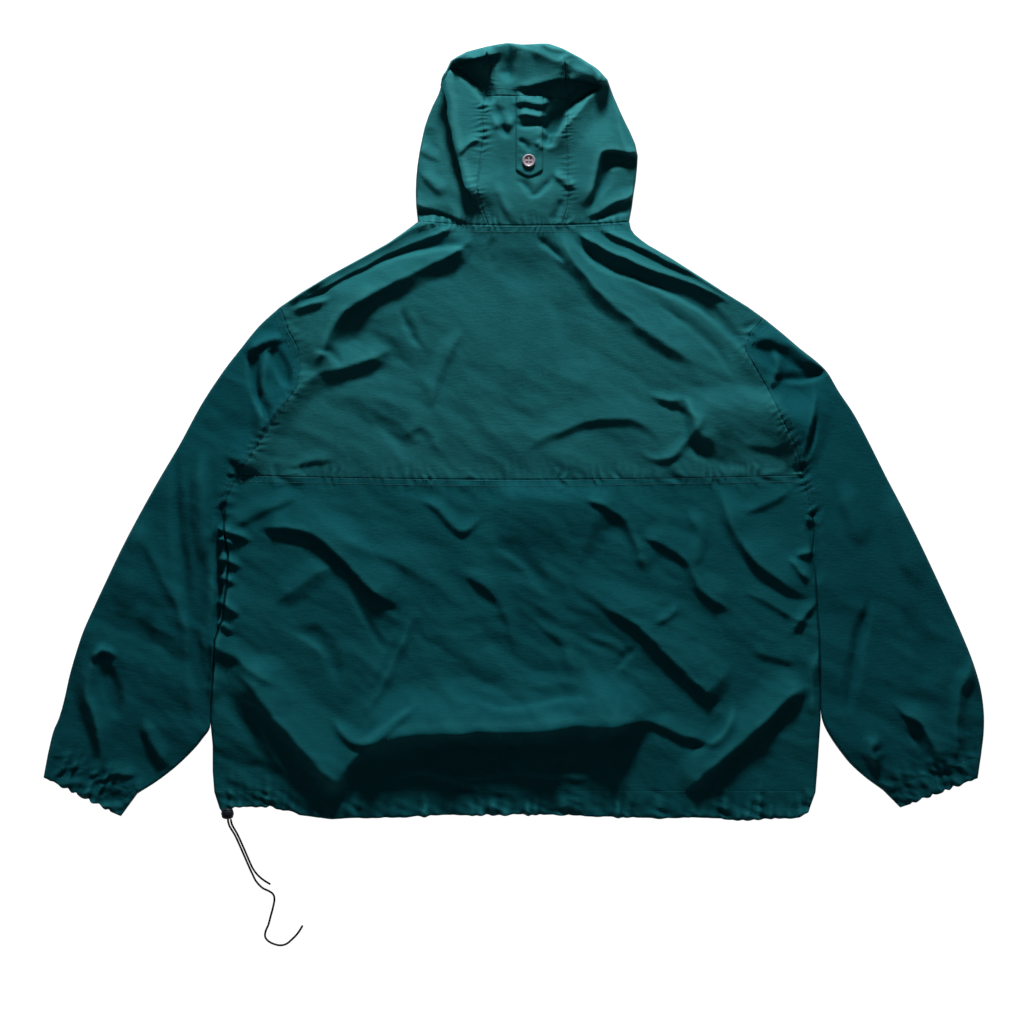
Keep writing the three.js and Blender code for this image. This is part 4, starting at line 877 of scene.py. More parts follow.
# One nylon in painted lit and shaded copies: the hood lighter than the yoke, and the body panels, sleeves and cuffs
# darker, as the key light falls off down the garment.
HOOD_CLOTH_PAINTED_LIGHTER = NylonFinish("nylon_hood_painted_lighter", "cloth_upper", (0.0115, 0.088, 0.094), (0.022, 0.128, 0.136))
YOKE_CLOTH = NylonFinish("nylon_yoke", "cloth_upper")
BODY_CLOTH_PAINTED_SHADE = NylonFinish("nylon_body_painted_shade", "cloth_lower", (0.0036, 0.058, 0.068), (0.0085, 0.088, 0.098),
                         (0.0014, 0.036, 0.045))
SLEEVE_CLOTH_PAINTED_SHADE = NylonFinish("nylon_sleeve_painted_shade", "cloth_lower", (0.0030, 0.052, 0.063), (0.0072, 0.076, 0.087),
                           (0.0012, 0.034, 0.043))
THREAD = PlainFinish("sewing_thread", "cloth_upper", (0.006, 0.066, 0.074), (0.003, 0.048, 0.055), 0.6, 2200)
BUTTON_FINISH = PlainFinish("pale_button", "button", (0.26, 0.22, 0.245), (0.17, 0.14, 0.16), 0.3, 340, 0.00003, 0.4)
STOPPER_FINISH = PlainFinish("dark_stopper", "stopper", (0.006, 0.009, 0.016), (0.010, 0.013, 0.020), 0.5, 700, 0.0001, 0, 0.1)
CORD_FINISH = PlainFinish("dark_cord", "cord", (0.004, 0.006, 0.008), (0.010, 0.013, 0.016), 0.75, 1600, 0.0003, 0, 0.04)


def cloth_coordinates(grid: np.ndarray) -> np.ndarray:
    """Lengths along the cloth in metres: summed steps along the rows and up the columns."""
    across = np.linalg.norm(np.diff(grid, axis=1), axis=2)
    upward = np.linalg.norm(np.diff(grid, axis=0), axis=2)
    u = np.concatenate([np.zeros((len(grid), 1)), np.cumsum(across, axis=1)], axis=1)
    v = np.concatenate([np.zeros((1, grid.shape[1])), np.cumsum(upward, axis=0)], axis=0)
    return np.stack([u - u[:, -1:] / 2, v], axis=2) * MM


def mesh_object(name: str, points: np.ndarray, faces: np.ndarray, finish: Finish) -> bpy.types.Object:
    """A smooth mesh object at the origin from points in millimetres.

    Args:
        name: the object's name.
        points: one point a row.
        faces: point numbers, one face a row.
        finish: what it is made of.

    Returns:
        The linked object, with its finish.
    """
    mesh = bpy.data.meshes.new(name)
    mesh.from_pydata((points * MM).tolist(), [], faces.tolist())
    mesh.polygons.foreach_set("use_smooth", np.ones(len(faces), bool))
    mesh.materials.append(finish.material())
    made = bpy.data.objects.new(name, mesh)
    bpy.context.scene.collection.objects.link(made)
    return made


def grid_faces(rows: int, columns: int, closed: bool) -> np.ndarray:
    """Four-sided faces of a grid, counterclockwise as columns run right and rows run up."""
    i, j = np.meshgrid(np.arange(rows - 1), np.arange(columns if closed else columns - 1), indexing="ij")
    far = (j + 1) % columns
    corners = (i * columns + j, i * columns + far, (i + 1) * columns + far, (i + 1) * columns + j)
    return np.stack(corners, axis=2).reshape(-1, 4)


@dataclass
class Panel:
    """One cut piece of cloth: a grid of points whose rows run across and columns up."""

    node: str
    grid: np.ndarray
    finish: Finish
    flat: tuple[float, float]
    area: float
    rests_on: tuple[str, ...] = ()
    closed: bool = False
    thickness: float = 0.9

    def build(self, relief: Relief) -> bpy.types.Object:
        """Args:
            relief: where the crest wear and the painted shade in hollows are read from.

        Returns:
            The finished piece.
        """
        rows, columns, _ = self.grid.shape
        points = self.grid.reshape(-1, 3)
        faces = grid_faces(rows, columns, self.closed)
        made = mesh_object(f"{self.node}_cloth", points, faces, self.finish)
        mesh = made.data
        corners = faces.ravel()
        uv = cloth_coordinates(self.grid).reshape(-1, 2)[corners]
        mesh.uv_layers.new(name="cloth").data.foreach_set("uv", uv.astype(np.float32).ravel())
        upper = smoothstep((points[:, 2] - 3) / 3)
        # Crest wear and painted shade in hollows, on the upper layer only.
        wear_and_shade = relief.read(relief.wear_and_shade, points[:, 0], points[:, 1]) * upper
        mesh.attributes.new("wear_and_shade", "FLOAT", "POINT").data.foreach_set("value", wear_and_shade.astype(np.float32))
        shell = made.modifiers.new("wall", "SOLIDIFY")
        shell.thickness = self.thickness * MM
        shell.offset = -1
        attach(made, "root")
        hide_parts(self.node)
        LOG.info("%s: %d points, %.4f m2", made.name, len(points), self.measured())
        return made

    def measured(self) -> float:
        """Area of the grid in square metres: half the cross product of each cell's diagonals."""
        grid = np.concatenate([self.grid, self.grid[:, :1]], axis=1) if self.closed else self.grid
        rising = grid[1:, 1:] - grid[:-1, :-1]
        falling = grid[1:, :-1] - grid[:-1, 1:]
        return float(np.linalg.norm(np.cross(rising, falling), axis=2).sum() / 2 * MM**2)


def seam_levels(low: float, high: float, cell: float) -> np.ndarray:
    """Places from low to high about a cell apart, and closer beside each sewn end.

    Args:
        low: the first place.
        high: the last place.
        cell: the usual step.

    Returns:
        The places in rising order.
    """
    first, last = low + SEAM_STEPS, high - SEAM_STEPS[::-1]
    count = max(2, int(round((last[0] - first[-1]) / cell)))
    middle = np.linspace(first[-1], last[0], count + 1)[1:-1]
    return np.concatenate([first, middle, last])


def tuck(distance: np.ndarray) -> np.ndarray:
    """How far an edge is turned down into its seam at a distance from it."""
    return TUCK_DEPTH * (1 - smoothstep(distance / TUCK_REACH))


def leaned(relief: Relief, x: np.ndarray, y: np.ndarray, z: np.ndarray,
           hold: np.ndarray | float = 1.0) -> np.ndarray:
    """Stacks points, moved sideways by the relief's lean times hold."""
    move_x = relief.read(relief.lean[0], x, y) * hold
    move_y = relief.read(relief.lean[1], x, y) * hold
    return np.stack([x + move_x, y + move_y, z], axis=-1)


FLOOR_NOISE = ValueNoise(51)


def underside(x: np.ndarray, y: np.ndarray) -> np.ndarray:
    """Height of the lowest layer: flat on the floor, but for shallow troughs across it."""
    creases = 1 - np.abs(FLOOR_NOISE.at(x / 62 + y / 140 + 9, y / 84)) * 4.5
    small = 1 - np.abs(FLOOR_NOISE.at(x / 30 + 40, y / 24 + x / 60)) * 5
    return 1.5 * np.clip(creases, 0, 1) ** 1.5 + 0.6 * np.clip(small, 0, 1) ** 1.5


@dataclass
class BodyPlan:
    """Rows of the body between its left and right edges, and how each end turns."""

    cell: float = 2.6
    shares: np.ndarray = field(init=False)

    def row_ends(self, level: np.ndarray) -> tuple[np.ndarray, np.ndarray]:
        """The left and right ends of rows at their levels."""
        left = np.interp(level, BODY[:, 0], BODY[:, 1])
        right = np.interp(level, BODY[:, 0], BODY[:, 2])
        return left, right

    def columns(self, level: np.ndarray, cell: float) -> tuple[np.ndarray, np.ndarray, np.ndarray]:
        """Plan x, the distance from the nearer end, and the folded turn's rise.

        Args:
            level: one level a row.
            cell: the usual step between columns.

        Returns:
            x, the distance and the rise, each one row a level.
        """
        left, right = (end[:, None] for end in self.row_ends(level))
        count = int(700 / cell)
        share = np.linspace(0, 1, count + 1)[1:-1]
        middle = (left + EDGE) + (right - left - 2 * EDGE) * share
        x = np.hstack([left + TURN_OFFSETS, middle, right - TURN_OFFSETS[::-1]])
        ones = np.ones(len(share))
        rise = np.concatenate([np.sin(TURN_ANGLES), ones, np.sin(TURN_ANGLES[::-1])])
        near = np.minimum(x - left, right - x)
        return x, near, np.broadcast_to(rise, x.shape)

    @staticmethod
    def sewn(level: np.ndarray) -> np.ndarray:
        """How far each end of a row is sewn to a sleeve: 1 inside an armhole, 0 outside."""
        parts = []
        for side in ("left", "right"):
            tip = SHOULDER_TIP_Y[side]
            parts.append(smoothstep((level - ARMPIT_Y + 1) / 5) * smoothstep((tip + 1 - level) / 5))
        return np.stack(parts, axis=1)

    def upper(self, relief: Relief, level: np.ndarray, curve: np.ndarray, cell: float) -> np.ndarray:
        """The back's grid: the relief, turned down at folded ends and tucked at sewn ones.

        Args:
            relief: the garment's relief.
            level: one level a row, rising.
            curve: how far each row sags at its middle.
            cell: the usual step between columns.

        Returns:
            The grid of points.
        """
        x, near, rise = self.columns(level, cell)
        reach = 2 * (x - x[:, :1]) / (x[:, -1:] - x[:, :1]) - 1
        y = level[:, None] - curve[:, None] * (1 - reach**2)
        top = relief.top(x, y)
        sides = self.sewn(level)
        sewn = np.where(reach < 0, sides[:, :1], sides[:, 1:])
        folded = EDGE + (top - EDGE) * rise
        z = folded * (1 - sewn) + (top - tuck(near)) * sewn
        along = np.minimum(level - level[0], level[-1] - level)[:, None]
        low_tuck = HEM_TUCK if level[0] <= HEM_SEAM_Y + 1 else 1.0
        share = np.where(level - level[0] < level[-1] - level, low_tuck, 1.0)[:, None]
        z = z - tuck(along) * share * rise
        hold = smoothstep(near / 12) * smoothstep(along / 6)
        return leaned(relief, x, y, z, hold)

    def lower(self, level: np.ndarray, curve: np.ndarray, drop: np.ndarray, cell: float) -> np.ndarray:
        """The front's grid, which faces down: the floor, turned up at both ends."""
        x, near, rise = self.columns(level, cell)
        reach = 2 * (x - x[:, :1]) / (x[:, -1:] - x[:, :1]) - 1
        left, right = BODY[-1, 1], BODY[-1, 2]
        side = np.where(x < THROAT[0], THROAT[0] - left, right - THROAT[0])
        dip = np.clip(1 - np.abs(x - THROAT[0]) / side, 0, 1) * (NECK_Y - SEAM_SAG - THROAT[1])
        y = level[:, None] - curve[:, None] * (1 - reach**2) - drop[:, None] * dip
        z = EDGE - 0.1 - (EDGE - 0.1) * rise
        flat = smoothstep((near - 4) / 14)
        z = z + flat * underside(x, y)
        return np.stack([x, y, z], axis=-1)[:, ::-1]


@dataclass
class Back:
    """The body's panels: back yoke, lower back, front and the two halves of the hem tunnel."""

    cell: float = 2.6
    plan: BodyPlan = field(default_factory=BodyPlan)

    def yoke(self, relief: Relief) -> Panel:
        """The back yoke, from the yoke seam to the neck."""
        level = seam_levels(YOKE_SEAM_Y, NECK_Y, self.cell)
        curve = np.full(len(level), SEAM_SAG)
        grid = self.plan.upper(relief, level, curve, self.cell)
        return Panel("back_yoke", grid, YOKE_CLOTH, (0.69, 0.33), 0.158, ("front_panel",))

    def lower(self, relief: Relief) -> Panel:
        """The lower back, from the hem seam to the yoke seam."""
        level = seam_levels(HEM_SEAM_Y, YOKE_SEAM_Y, self.cell)
        share = (level - HEM_SEAM_Y) / (YOKE_SEAM_Y - HEM_SEAM_Y)
        grid = self.plan.upper(relief, level, share**2 * SEAM_SAG, self.cell)
        return Panel("back_lower", grid, BODY_CLOTH_PAINTED_SHADE, (0.75, 0.40), 0.27, ("front_panel",))

    def front(self) -> Panel:
        """The front, flat on the floor from the hem seam to the V of its neck."""
        level = seam_levels(HEM_SEAM_Y, NECK_Y, 6)
        share = np.clip((level - ARMPIT_Y) / (NECK_Y - ARMPIT_Y), 0, 1)
        grid = self.plan.lower(level, share * SEAM_SAG, share**2, 6)
        return Panel("front_panel", grid, BODY_CLOTH_PAINTED_SHADE, (0.72, 0.68), 0.40)

    def hem(self, relief: Relief) -> list[Panel]:
        """The hem tunnel: a gathered band at the back, and a flat one at the front."""
        share = np.array([0, 0.012, 0.035, 0.07, 0.12, 0.19, 0.27, 0.36, 0.45, 0.54, 0.63, 0.72, 0.81, 0.89,
                          0.95, 0.98, 1.0])
        level = BODY[0, 0] + (HEM_SEAM_Y - BODY[0, 0]) * share
        x, near, rise = self.plan.columns(level, 1.9)
        edge = np.interp(x, HEM_EDGE[:, 0], HEM_EDGE[:, 1])
        bulge = relief.top(x, edge + 3) - relief.top(x, edge + 60)
        edge = edge - 0.3 * np.clip(bulge, -6, 6)
        y = edge + (HEM_SEAM_Y - edge) * share[:, None]
        top = relief.top(x, y)
        roll = np.clip((y - edge) / 2.6, 0, 1)
        rolled = np.sqrt(1 - (1 - roll) ** 2)
        z = EDGE + (top - EDGE) * rise
        z = z - (2.4 * (1 - rolled) + HEM_TUCK * tuck(HEM_SEAM_Y - y)) * rise
        back = leaned(relief, x, y, z, smoothstep(near / 12) * smoothstep((HEM_SEAM_Y - y) / 6))
        front_x, front_near, front_rise = self.plan.columns(level[::2], 5)
        front_edge = np.interp(front_x, HEM_EDGE[:, 0], HEM_EDGE[:, 1]) + 1.5
        front_y = front_edge + (HEM_SEAM_Y - front_edge) * share[::2, None]
        front_z = (EDGE - 0.1) * (1 - front_rise) + 0.8 * np.clip(1 - (front_y - front_edge) / 3, 0, 1)
        front = np.stack([front_x, front_y, front_z], axis=-1)[:, ::-1]
        return [
            Panel("hem_band_back", back, BODY_CLOTH_PAINTED_SHADE, (0.76, 0.034), 0.0245, ("hem_band_front",), False, 1.5),
            Panel("hem_band_front", front, BODY_CLOTH_PAINTED_SHADE, (0.70, 0.032), 0.0205, (), False, 1.5),
        ]


@dataclass
class Arm:
    """A sleeve and its cuff, as tubes that lie flat."""

    side: str
    cell: float = 3.0

    def armhole(self) -> np.ndarray:
        """Corners of the armhole from the shoulder tip down to the armpit."""
        return np.array(armhole_line(self.side))[::-1]

    def rings(self) -> tuple[np.ndarray, np.ndarray]:
        """Outer and inner plan ends of the sleeve's table rows."""
        rows = SLEEVES[self.side].copy()
        away = -1 if self.side == "left" else 1
        column = 1 if self.side == "left" else 2
        free = np.isnan(rows[:, 2])
        against = np.interp(rows[:, 3], BODY[:, 0], BODY[:, column])
        lean = np.where(np.arange(len(rows)) == 0, 0.0, SLEEVE_CLEAR)
        rows[:, 2] = np.where(free, against + away * lean, rows[:, 2])
        return rows[:, :2], rows[:, 2:]

    def plan(self, stations: np.ndarray, shares: np.ndarray) -> np.ndarray:
        """Plan points at stations along the sleeve and shares across it, outer to inner.

        Args:
            stations: places along the sleeve, in table rows.
            shares: places across it, one row a station.

        Returns:
            The points, one row a station.
        """
        outer, inner = self.ends(stations)
        points = outer[:, None] + (inner - outer)[:, None] * shares[..., None]
        corners = self.armhole()
        lengths = np.concatenate([[0], np.cumsum(np.hypot(*np.diff(corners, axis=0).T))])
        whole = lengths / lengths[-1]
        hole = np.stack([np.interp(shares, whole, corners[:, k]) for k in (0, 1)], axis=-1)
        straight = corners[0] + (corners[-1] - corners[0]) * shares[..., None]
        bend = np.clip(1 - stations / 6, 0, 1) ** 1.5
        return points + (hole - straight) * bend[:, None, None]

    def ends(self, stations: np.ndarray) -> tuple[np.ndarray, np.ndarray]:
        """Outer and inner plan ends at stations; the inner one keeps to the body's edge beside it."""
        outer, inner = (self.between(ends, stations) for ends in self.rings())
        away, column = (-1, 1) if self.side == "left" else (1, 2)
        last_free = np.isnan(SLEEVES[self.side][:, 2]).sum() - 1
        edge = np.interp(inner[:, 1], BODY[:, 0], BODY[:, column]) + away * SLEEVE_CLEAR
        free = smoothstep(last_free + 1 - stations)
        inner[:, 0] = edge * free + inner[:, 0] * (1 - free)
        return outer, inner

    @staticmethod
    def between(ends: np.ndarray, stations: np.ndarray) -> np.ndarray:
        """A smooth curve through the table's ends, read at stations."""
        curve = smooth_line(ends, 8)
        place = np.arange(len(curve)) / 8
        return np.stack([np.interp(stations, place, curve[:, k]) for k in (0, 1)], axis=-1)

    def ring_grid(self, relief: Relief, plan_points: np.ndarray, under: np.ndarray,
                  rise: np.ndarray, hold: np.ndarray, drop: np.ndarray) -> np.ndarray:
        """Closes flat rings: the relief over the plan points, and the floor back under them."""
        if self.side == "left":
            plan_points, under = plan_points[:, ::-1], under[:, ::-1]
        x, y = plan_points[..., 0], plan_points[..., 1]
        z = EDGE + (relief.top(x, y) - EDGE - drop[:, None]) * rise
        near = np.minimum(np.arange(x.shape[1]), np.arange(x.shape[1])[::-1])
        upper = leaned(relief, x, y, z, hold[:, None] * smoothstep((near - 6) / 4.0))
        turn = np.sin(TURN_ANGLES[1:])
        low_rise = np.concatenate([turn, np.ones(under.shape[1] - 2 * len(turn)), turn[::-1]])
        low_x, low_y = under[..., 0], under[..., 1]
        low_z = EDGE * (1 - low_rise) + np.where(low_rise == 1, underside(low_x, low_y), 0) * hold[:, None]
        lower = np.stack([low_x, low_y, low_z], axis=-1)[:, ::-1]
        return np.concatenate([upper, lower], axis=1)

    @staticmethod
    def share_rows(width: np.ndarray, count: int, ends: np.ndarray) -> np.ndarray:
        """Shares across rings: a turn's offsets at both ends and equal steps between."""
        start = ends[None, :] / width[:, None]
        middle = np.linspace(0, 1, count + 1)[1:-1]
        reach = EDGE / width[:, None]
        return np.hstack([start, reach + (1 - 2 * reach) * middle, 1 - start[:, ::-1]])

    def sleeve(self, relief: Relief) -> Panel:
        """The sleeve from the armhole to the cuff seam."""
        last = len(SLEEVES[self.side]) - 1
        even = np.linspace(0.22, last - 0.12, int(560 / self.cell))
        stations = np.concatenate([[0, 0.012, 0.035, 0.07, 0.13], even, [last - 0.06, last - 0.03, last]])
        outer, inner = self.ends(stations)
        width = np.hypot(*(inner - outer).T)
        shares = self.share_rows(width, 74, TURN_OFFSETS)
        low_shares = self.share_rows(width, 22, TURN_OFFSETS[1:])
        rise = np.concatenate([np.sin(TURN_ANGLES), np.ones(73), np.sin(TURN_ANGLES[::-1])])
        hold = smoothstep(stations / 1.2) * smoothstep((last - stations) / 0.6)
        drop = tuck(stations * 26) + HEM_TUCK * tuck((last - stations) * 26)
        grid = self.ring_grid(relief, self.plan(stations, shares), self.plan(stations, low_shares), rise,
                              hold, drop)
        return Panel(f"sleeve_{self.side}", grid, SLEEVE_CLOTH_PAINTED_SHADE, (0.42, 0.58), 0.145, (), True)

    def cuff(self, relief: Relief) -> Panel:
        """The elastic cuff, a doubled ring with gathers all round its upper side."""
        start, end = CUFFS[self.side]
        share = np.array([0, 0.012, 0.04, 0.09, 0.16, 0.25, 0.34, 0.43, 0.52, 0.61, 0.7, 0.79, 0.87, 0.93, 0.97,
                          0.99, 1.0])
        ends = start + (end - start) * share[:, None]
        width = np.hypot(ends[:, 2] - ends[:, 0], ends[:, 3] - ends[:, 1])
        axis = (end[:2] + end[2:] - start[:2] - start[2:]) / 2
        axis = axis / np.hypot(*axis)
        points = []
        for count, offsets in ((84, TURN_OFFSETS), (24, TURN_OFFSETS[1:])):
            across = self.share_rows(width, count, offsets)[..., None]
            plan = ends[:, None, :2] + (ends[:, None, 2:] - ends[:, None, :2]) * across
            scallop = np.abs(np.sin(7 * math.pi * across + 1.5 * ValueNoise(34).at(9 * across, 0 * across)))
            swell = 3.0 * (scallop - 0.6) * smoothstep(4 * across) * smoothstep(4 - 4 * across)
            points.append(plan + axis * swell * smoothstep(share * 1.2 - 0.2)[:, None, None])
        rise = np.concatenate([np.sin(TURN_ANGLES), np.ones(83), np.sin(TURN_ANGLES[::-1])])
        down = np.hypot(end[0] - start[0], end[1] - start[1]) * share
        roll = 2.2 * (1 - np.sqrt(1 - (1 - np.clip((down[-1] - down) / 2.4, 0, 1)) ** 2))
        grid = self.ring_grid(relief, points[0], points[1], rise, np.zeros(len(share)), HEM_TUCK * tuck(down) + roll)
        return Panel(f"cuff_{self.side}", grid, SLEEVE_CLOTH_PAINTED_SHADE, (0.25, 0.032), 0.0078, (), True, 1.5)


@dataclass
class Hood:
    """The hood's side, centre and crown panels, and its tab."""

    cell: float = 1.7

    @staticmethod
    def rim(side: str, share: np.ndarray) -> np.ndarray:
        """Where rows end at the face opening."""
        y = THROAT[1] + 0.4 + (FACE_TOP_Y - THROAT[1] - 0.4) * share
        away = -1 if side == "left" else 1
        part = np.clip((y - THROAT[1]) / FACE_WIDENS, 0, 1)
        half = FACE_HALF_WIDTH * np.sqrt(1 - (1 - part) ** 2)
        return np.stack([THROAT[0] + away * half, y], axis=-1)

    def wrap(self, relief: Relief, paths: np.ndarray, rims: np.ndarray, over: int, under: int,
             end_tuck: np.ndarray) -> np.ndarray:
        """Rows from a seam over the top to the outline, round it, and back under to a rim.

        Args:
            relief: the garment's relief.
            paths: each row's plan places from the seam to the outline.
            rims: each row's last plan place.
            over: columns on top.
            under: columns beneath.
            end_tuck: how far each row is tucked into the panel's other seams.

        Returns:
            The grid of points.
        """
        steps = np.hypot(*np.moveaxis(np.diff(paths, axis=1), 2, 0))
        length = np.concatenate([np.zeros((len(paths), 1)), np.cumsum(steps, axis=1)], axis=1)
        whole = length[:, -1:]
        near = SEAM_STEPS
        middle = np.linspace(0, 1, over + 1)[1:-1]
        start = near[-1] + (whole - near[-1] - EDGE) * middle
        place = np.hstack([np.broadcast_to(near, (len(paths), 5)), start, whole - TURN_OFFSETS[::-1]])
        x, y = (np.stack([np.interp(place[r], length[r], paths[r, :, k]) for r in range(len(paths))]) for k in (0, 1))
        rise = np.concatenate([np.ones(5 + over - 1), np.sin(TURN_ANGLES[::-1])])
        z = EDGE + (relief.top(x, y) - EDGE) * rise - (tuck(place) + end_tuck[:, None]) * rise
        hold = smoothstep(place / 5) * smoothstep((whole - place - 1) / 9) * (1 - end_tuck[:, None] / TUCK_DEPTH)
        top = leaned(relief, x, y, z, hold)
        turned = np.stack([x[:, :-8:-1], y[:, :-8:-1], np.broadcast_to(EDGE * (1 - np.sin(TURN_ANGLES)),
                                                                      (len(x), 7))], axis=-1)[:, 1:]
        far = turned[:, -1:, :2]
        share = np.linspace(0, 1, under + 1)[1:]
        flat = far + (rims[:, None] - far) * share[None, :, None]
        lift = underside(flat[..., 0], flat[..., 1]) * smoothstep(share * 4) * smoothstep((1 - share) * 6)
        lift = lift + 1.0 * smoothstep((220 - flat[..., 1]) / 5)
        beneath = np.concatenate([flat, lift[..., None]], axis=-1)
        return np.concatenate([top, turned, beneath], axis=1)

    def side(self, relief: Relief, side: str) -> Panel:
        """A side panel. Its rows fan from the centre seam out to the outline."""
        first = 0 if side == "left" else 4
        row = seam_levels(0, 14 * ROW_PITCH, 1.9) / ROW_PITCH
        table = np.stack([np.interp(row, np.arange(15), HOOD[:, first + k]) for k in range(4)], axis=-1)
        share = np.linspace(0, 1, 8)
        paths = table[:, None, :2] + (table[:, None, 2:] - table[:, None, :2]) * share[None, :, None]
        base = NECK_Y - SEAM_SAG * (1 - ((2 * paths[..., 0] - 21) / 245) ** 2)
        blend = smoothstep(1 - row)[:, None]
        paths[..., 1] = paths[..., 1] * (1 - blend) + (base + row[:, None] * ROW_PITCH) * blend
        rims = self.rim(side, row / 14)
        end_tuck = tuck(row * ROW_PITCH) + tuck((14 - row) * 12)
        grid = self.wrap(relief, paths, rims, int(84 / self.cell), 14, np.minimum(end_tuck, TUCK_DEPTH))
        if side == "left":
            grid = grid[::-1]
        return Panel(f"hood_side_{side}", grid, HOOD_CLOTH_PAINTED_LIGHTER, (0.17, 0.25), 0.033, ())

    def centre(self, relief: Relief) -> Panel:
        """The centre panel, from the neck to the cross seam."""
        row = seam_levels(0, CROSS_SEAM_ROW * ROW_PITCH, 1.9) / ROW_PITCH
        left, left_y, right, right_y = (np.interp(row, np.arange(15), HOOD[:, k])[:, None] for k in (0, 1, 4, 5))
        near = SEAM_STEPS
        middle = np.linspace(0, 1, int(98 / self.cell) + 1)[1:-1]
        x = np.hstack([left + near, left + 2.8 + (right - left - 5.6) * middle, right - near[::-1]])
        y = left_y + (right_y - left_y) * (x - left) / (right - left)
        base = NECK_Y - SEAM_SAG * (1 - ((2 * x - 21) / 245) ** 2)
        blend = smoothstep(1 - row)[:, None]
        y = y * (1 - blend) + (base + row[:, None] * ROW_PITCH) * blend
        aside = np.minimum(x - left, right - x)
        ends = np.minimum(row * ROW_PITCH, (CROSS_SEAM_ROW - row) * 15)[:, None]
        z = relief.top(x, y) - np.minimum(tuck(aside) + tuck(ends), TUCK_DEPTH)
        grid = leaned(relief, x, y, z, smoothstep(aside / 5) * smoothstep(ends / 5))
        return Panel("hood_centre", grid, HOOD_CLOTH_PAINTED_LIGHTER, (0.105, 0.16), 0.0155, ())

    def crown(self, relief: Relief) -> Panel:
        """The crown, from the cross seam over the top outline and under to the face opening."""
        share = seam_levels(0, 88, self.cell) / 88
        rows = HOOD[CROSS_SEAM_ROW:]
        blend = share[:, None]
        x = rows[None, :, 0] * (1 - blend) + rows[None, :, 4] * blend
        y = rows[None, :, 1] * (1 - blend) + rows[None, :, 5] * blend
        top_x = rows[-1, 2] * (1 - share) + rows[-1, 6] * share
        top_y = np.interp(top_x, CROWN_TOP[:, 0], CROWN_TOP[:, 1])
        paths = np.stack([np.hstack([x, top_x[:, None]]), np.hstack([y, top_y[:, None]])], axis=-1)
        rim_x = THROAT[0] + FACE_HALF_WIDTH * (2 * share - 1)
        rims = np.stack([rim_x, FACE_TOP_Y + 24 * share * (1 - share)], axis=-1)
        end_tuck = tuck(np.minimum(share, 1 - share) * 88)
        grid = self.wrap(relief, paths, rims, int(60 / self.cell), 8, end_tuck)[::-1]
        return Panel("hood_crown", grid, HOOD_CLOTH_PAINTED_LIGHTER, (0.098, 0.115), 0.0112, ())

    def tab(self, relief: Relief) -> Panel:
        """The adjuster tab, laid on the centre panel up to the cross seam."""
        across = np.concatenate([[0, 0.02, 0.05], np.linspace(0.1, 0.9, 17), [0.95, 0.98, 1]])
        along = np.concatenate([[0, 0.006, 0.016], np.linspace(0.035, 0.97, 54), [0.985, 1]])
        x = TAB_LEFT + (TAB_RIGHT - TAB_LEFT) * across[None, :] + 0 * along[:, None]
        half = (TAB_RIGHT - TAB_LEFT) / 2
        point = TAB_TIP_Y + (TAB_CORNER_Y - TAB_TIP_Y) * (np.abs(x - TAB_MIDDLE) / half) ** 1.6
        y = point + (TAB_TOP - point) * along[:, None]
        rim = np.minimum(np.minimum(across, 1 - across)[None, :] * 31, along[:, None] * 90)
        raised = 1 - (1 - np.clip(rim / 1.3, 0, 1)) ** 2
        crumple = 0.5 * ValueNoise(61).at(x / 9, y / 4.5)
        z = relief.top(x, y) + 1.1 + 1.5 * raised + crumple * smoothstep(rim / 4)
        grid = leaned(relief, x, y, z, smoothstep((TAB_TOP - y) / 6))
        return Panel("hood_tab", grid, HOOD_CLOTH_PAINTED_LIGHTER, (0.034, 0.096), 0.0031, ("hood_centre_cloth",), False, 1.2)


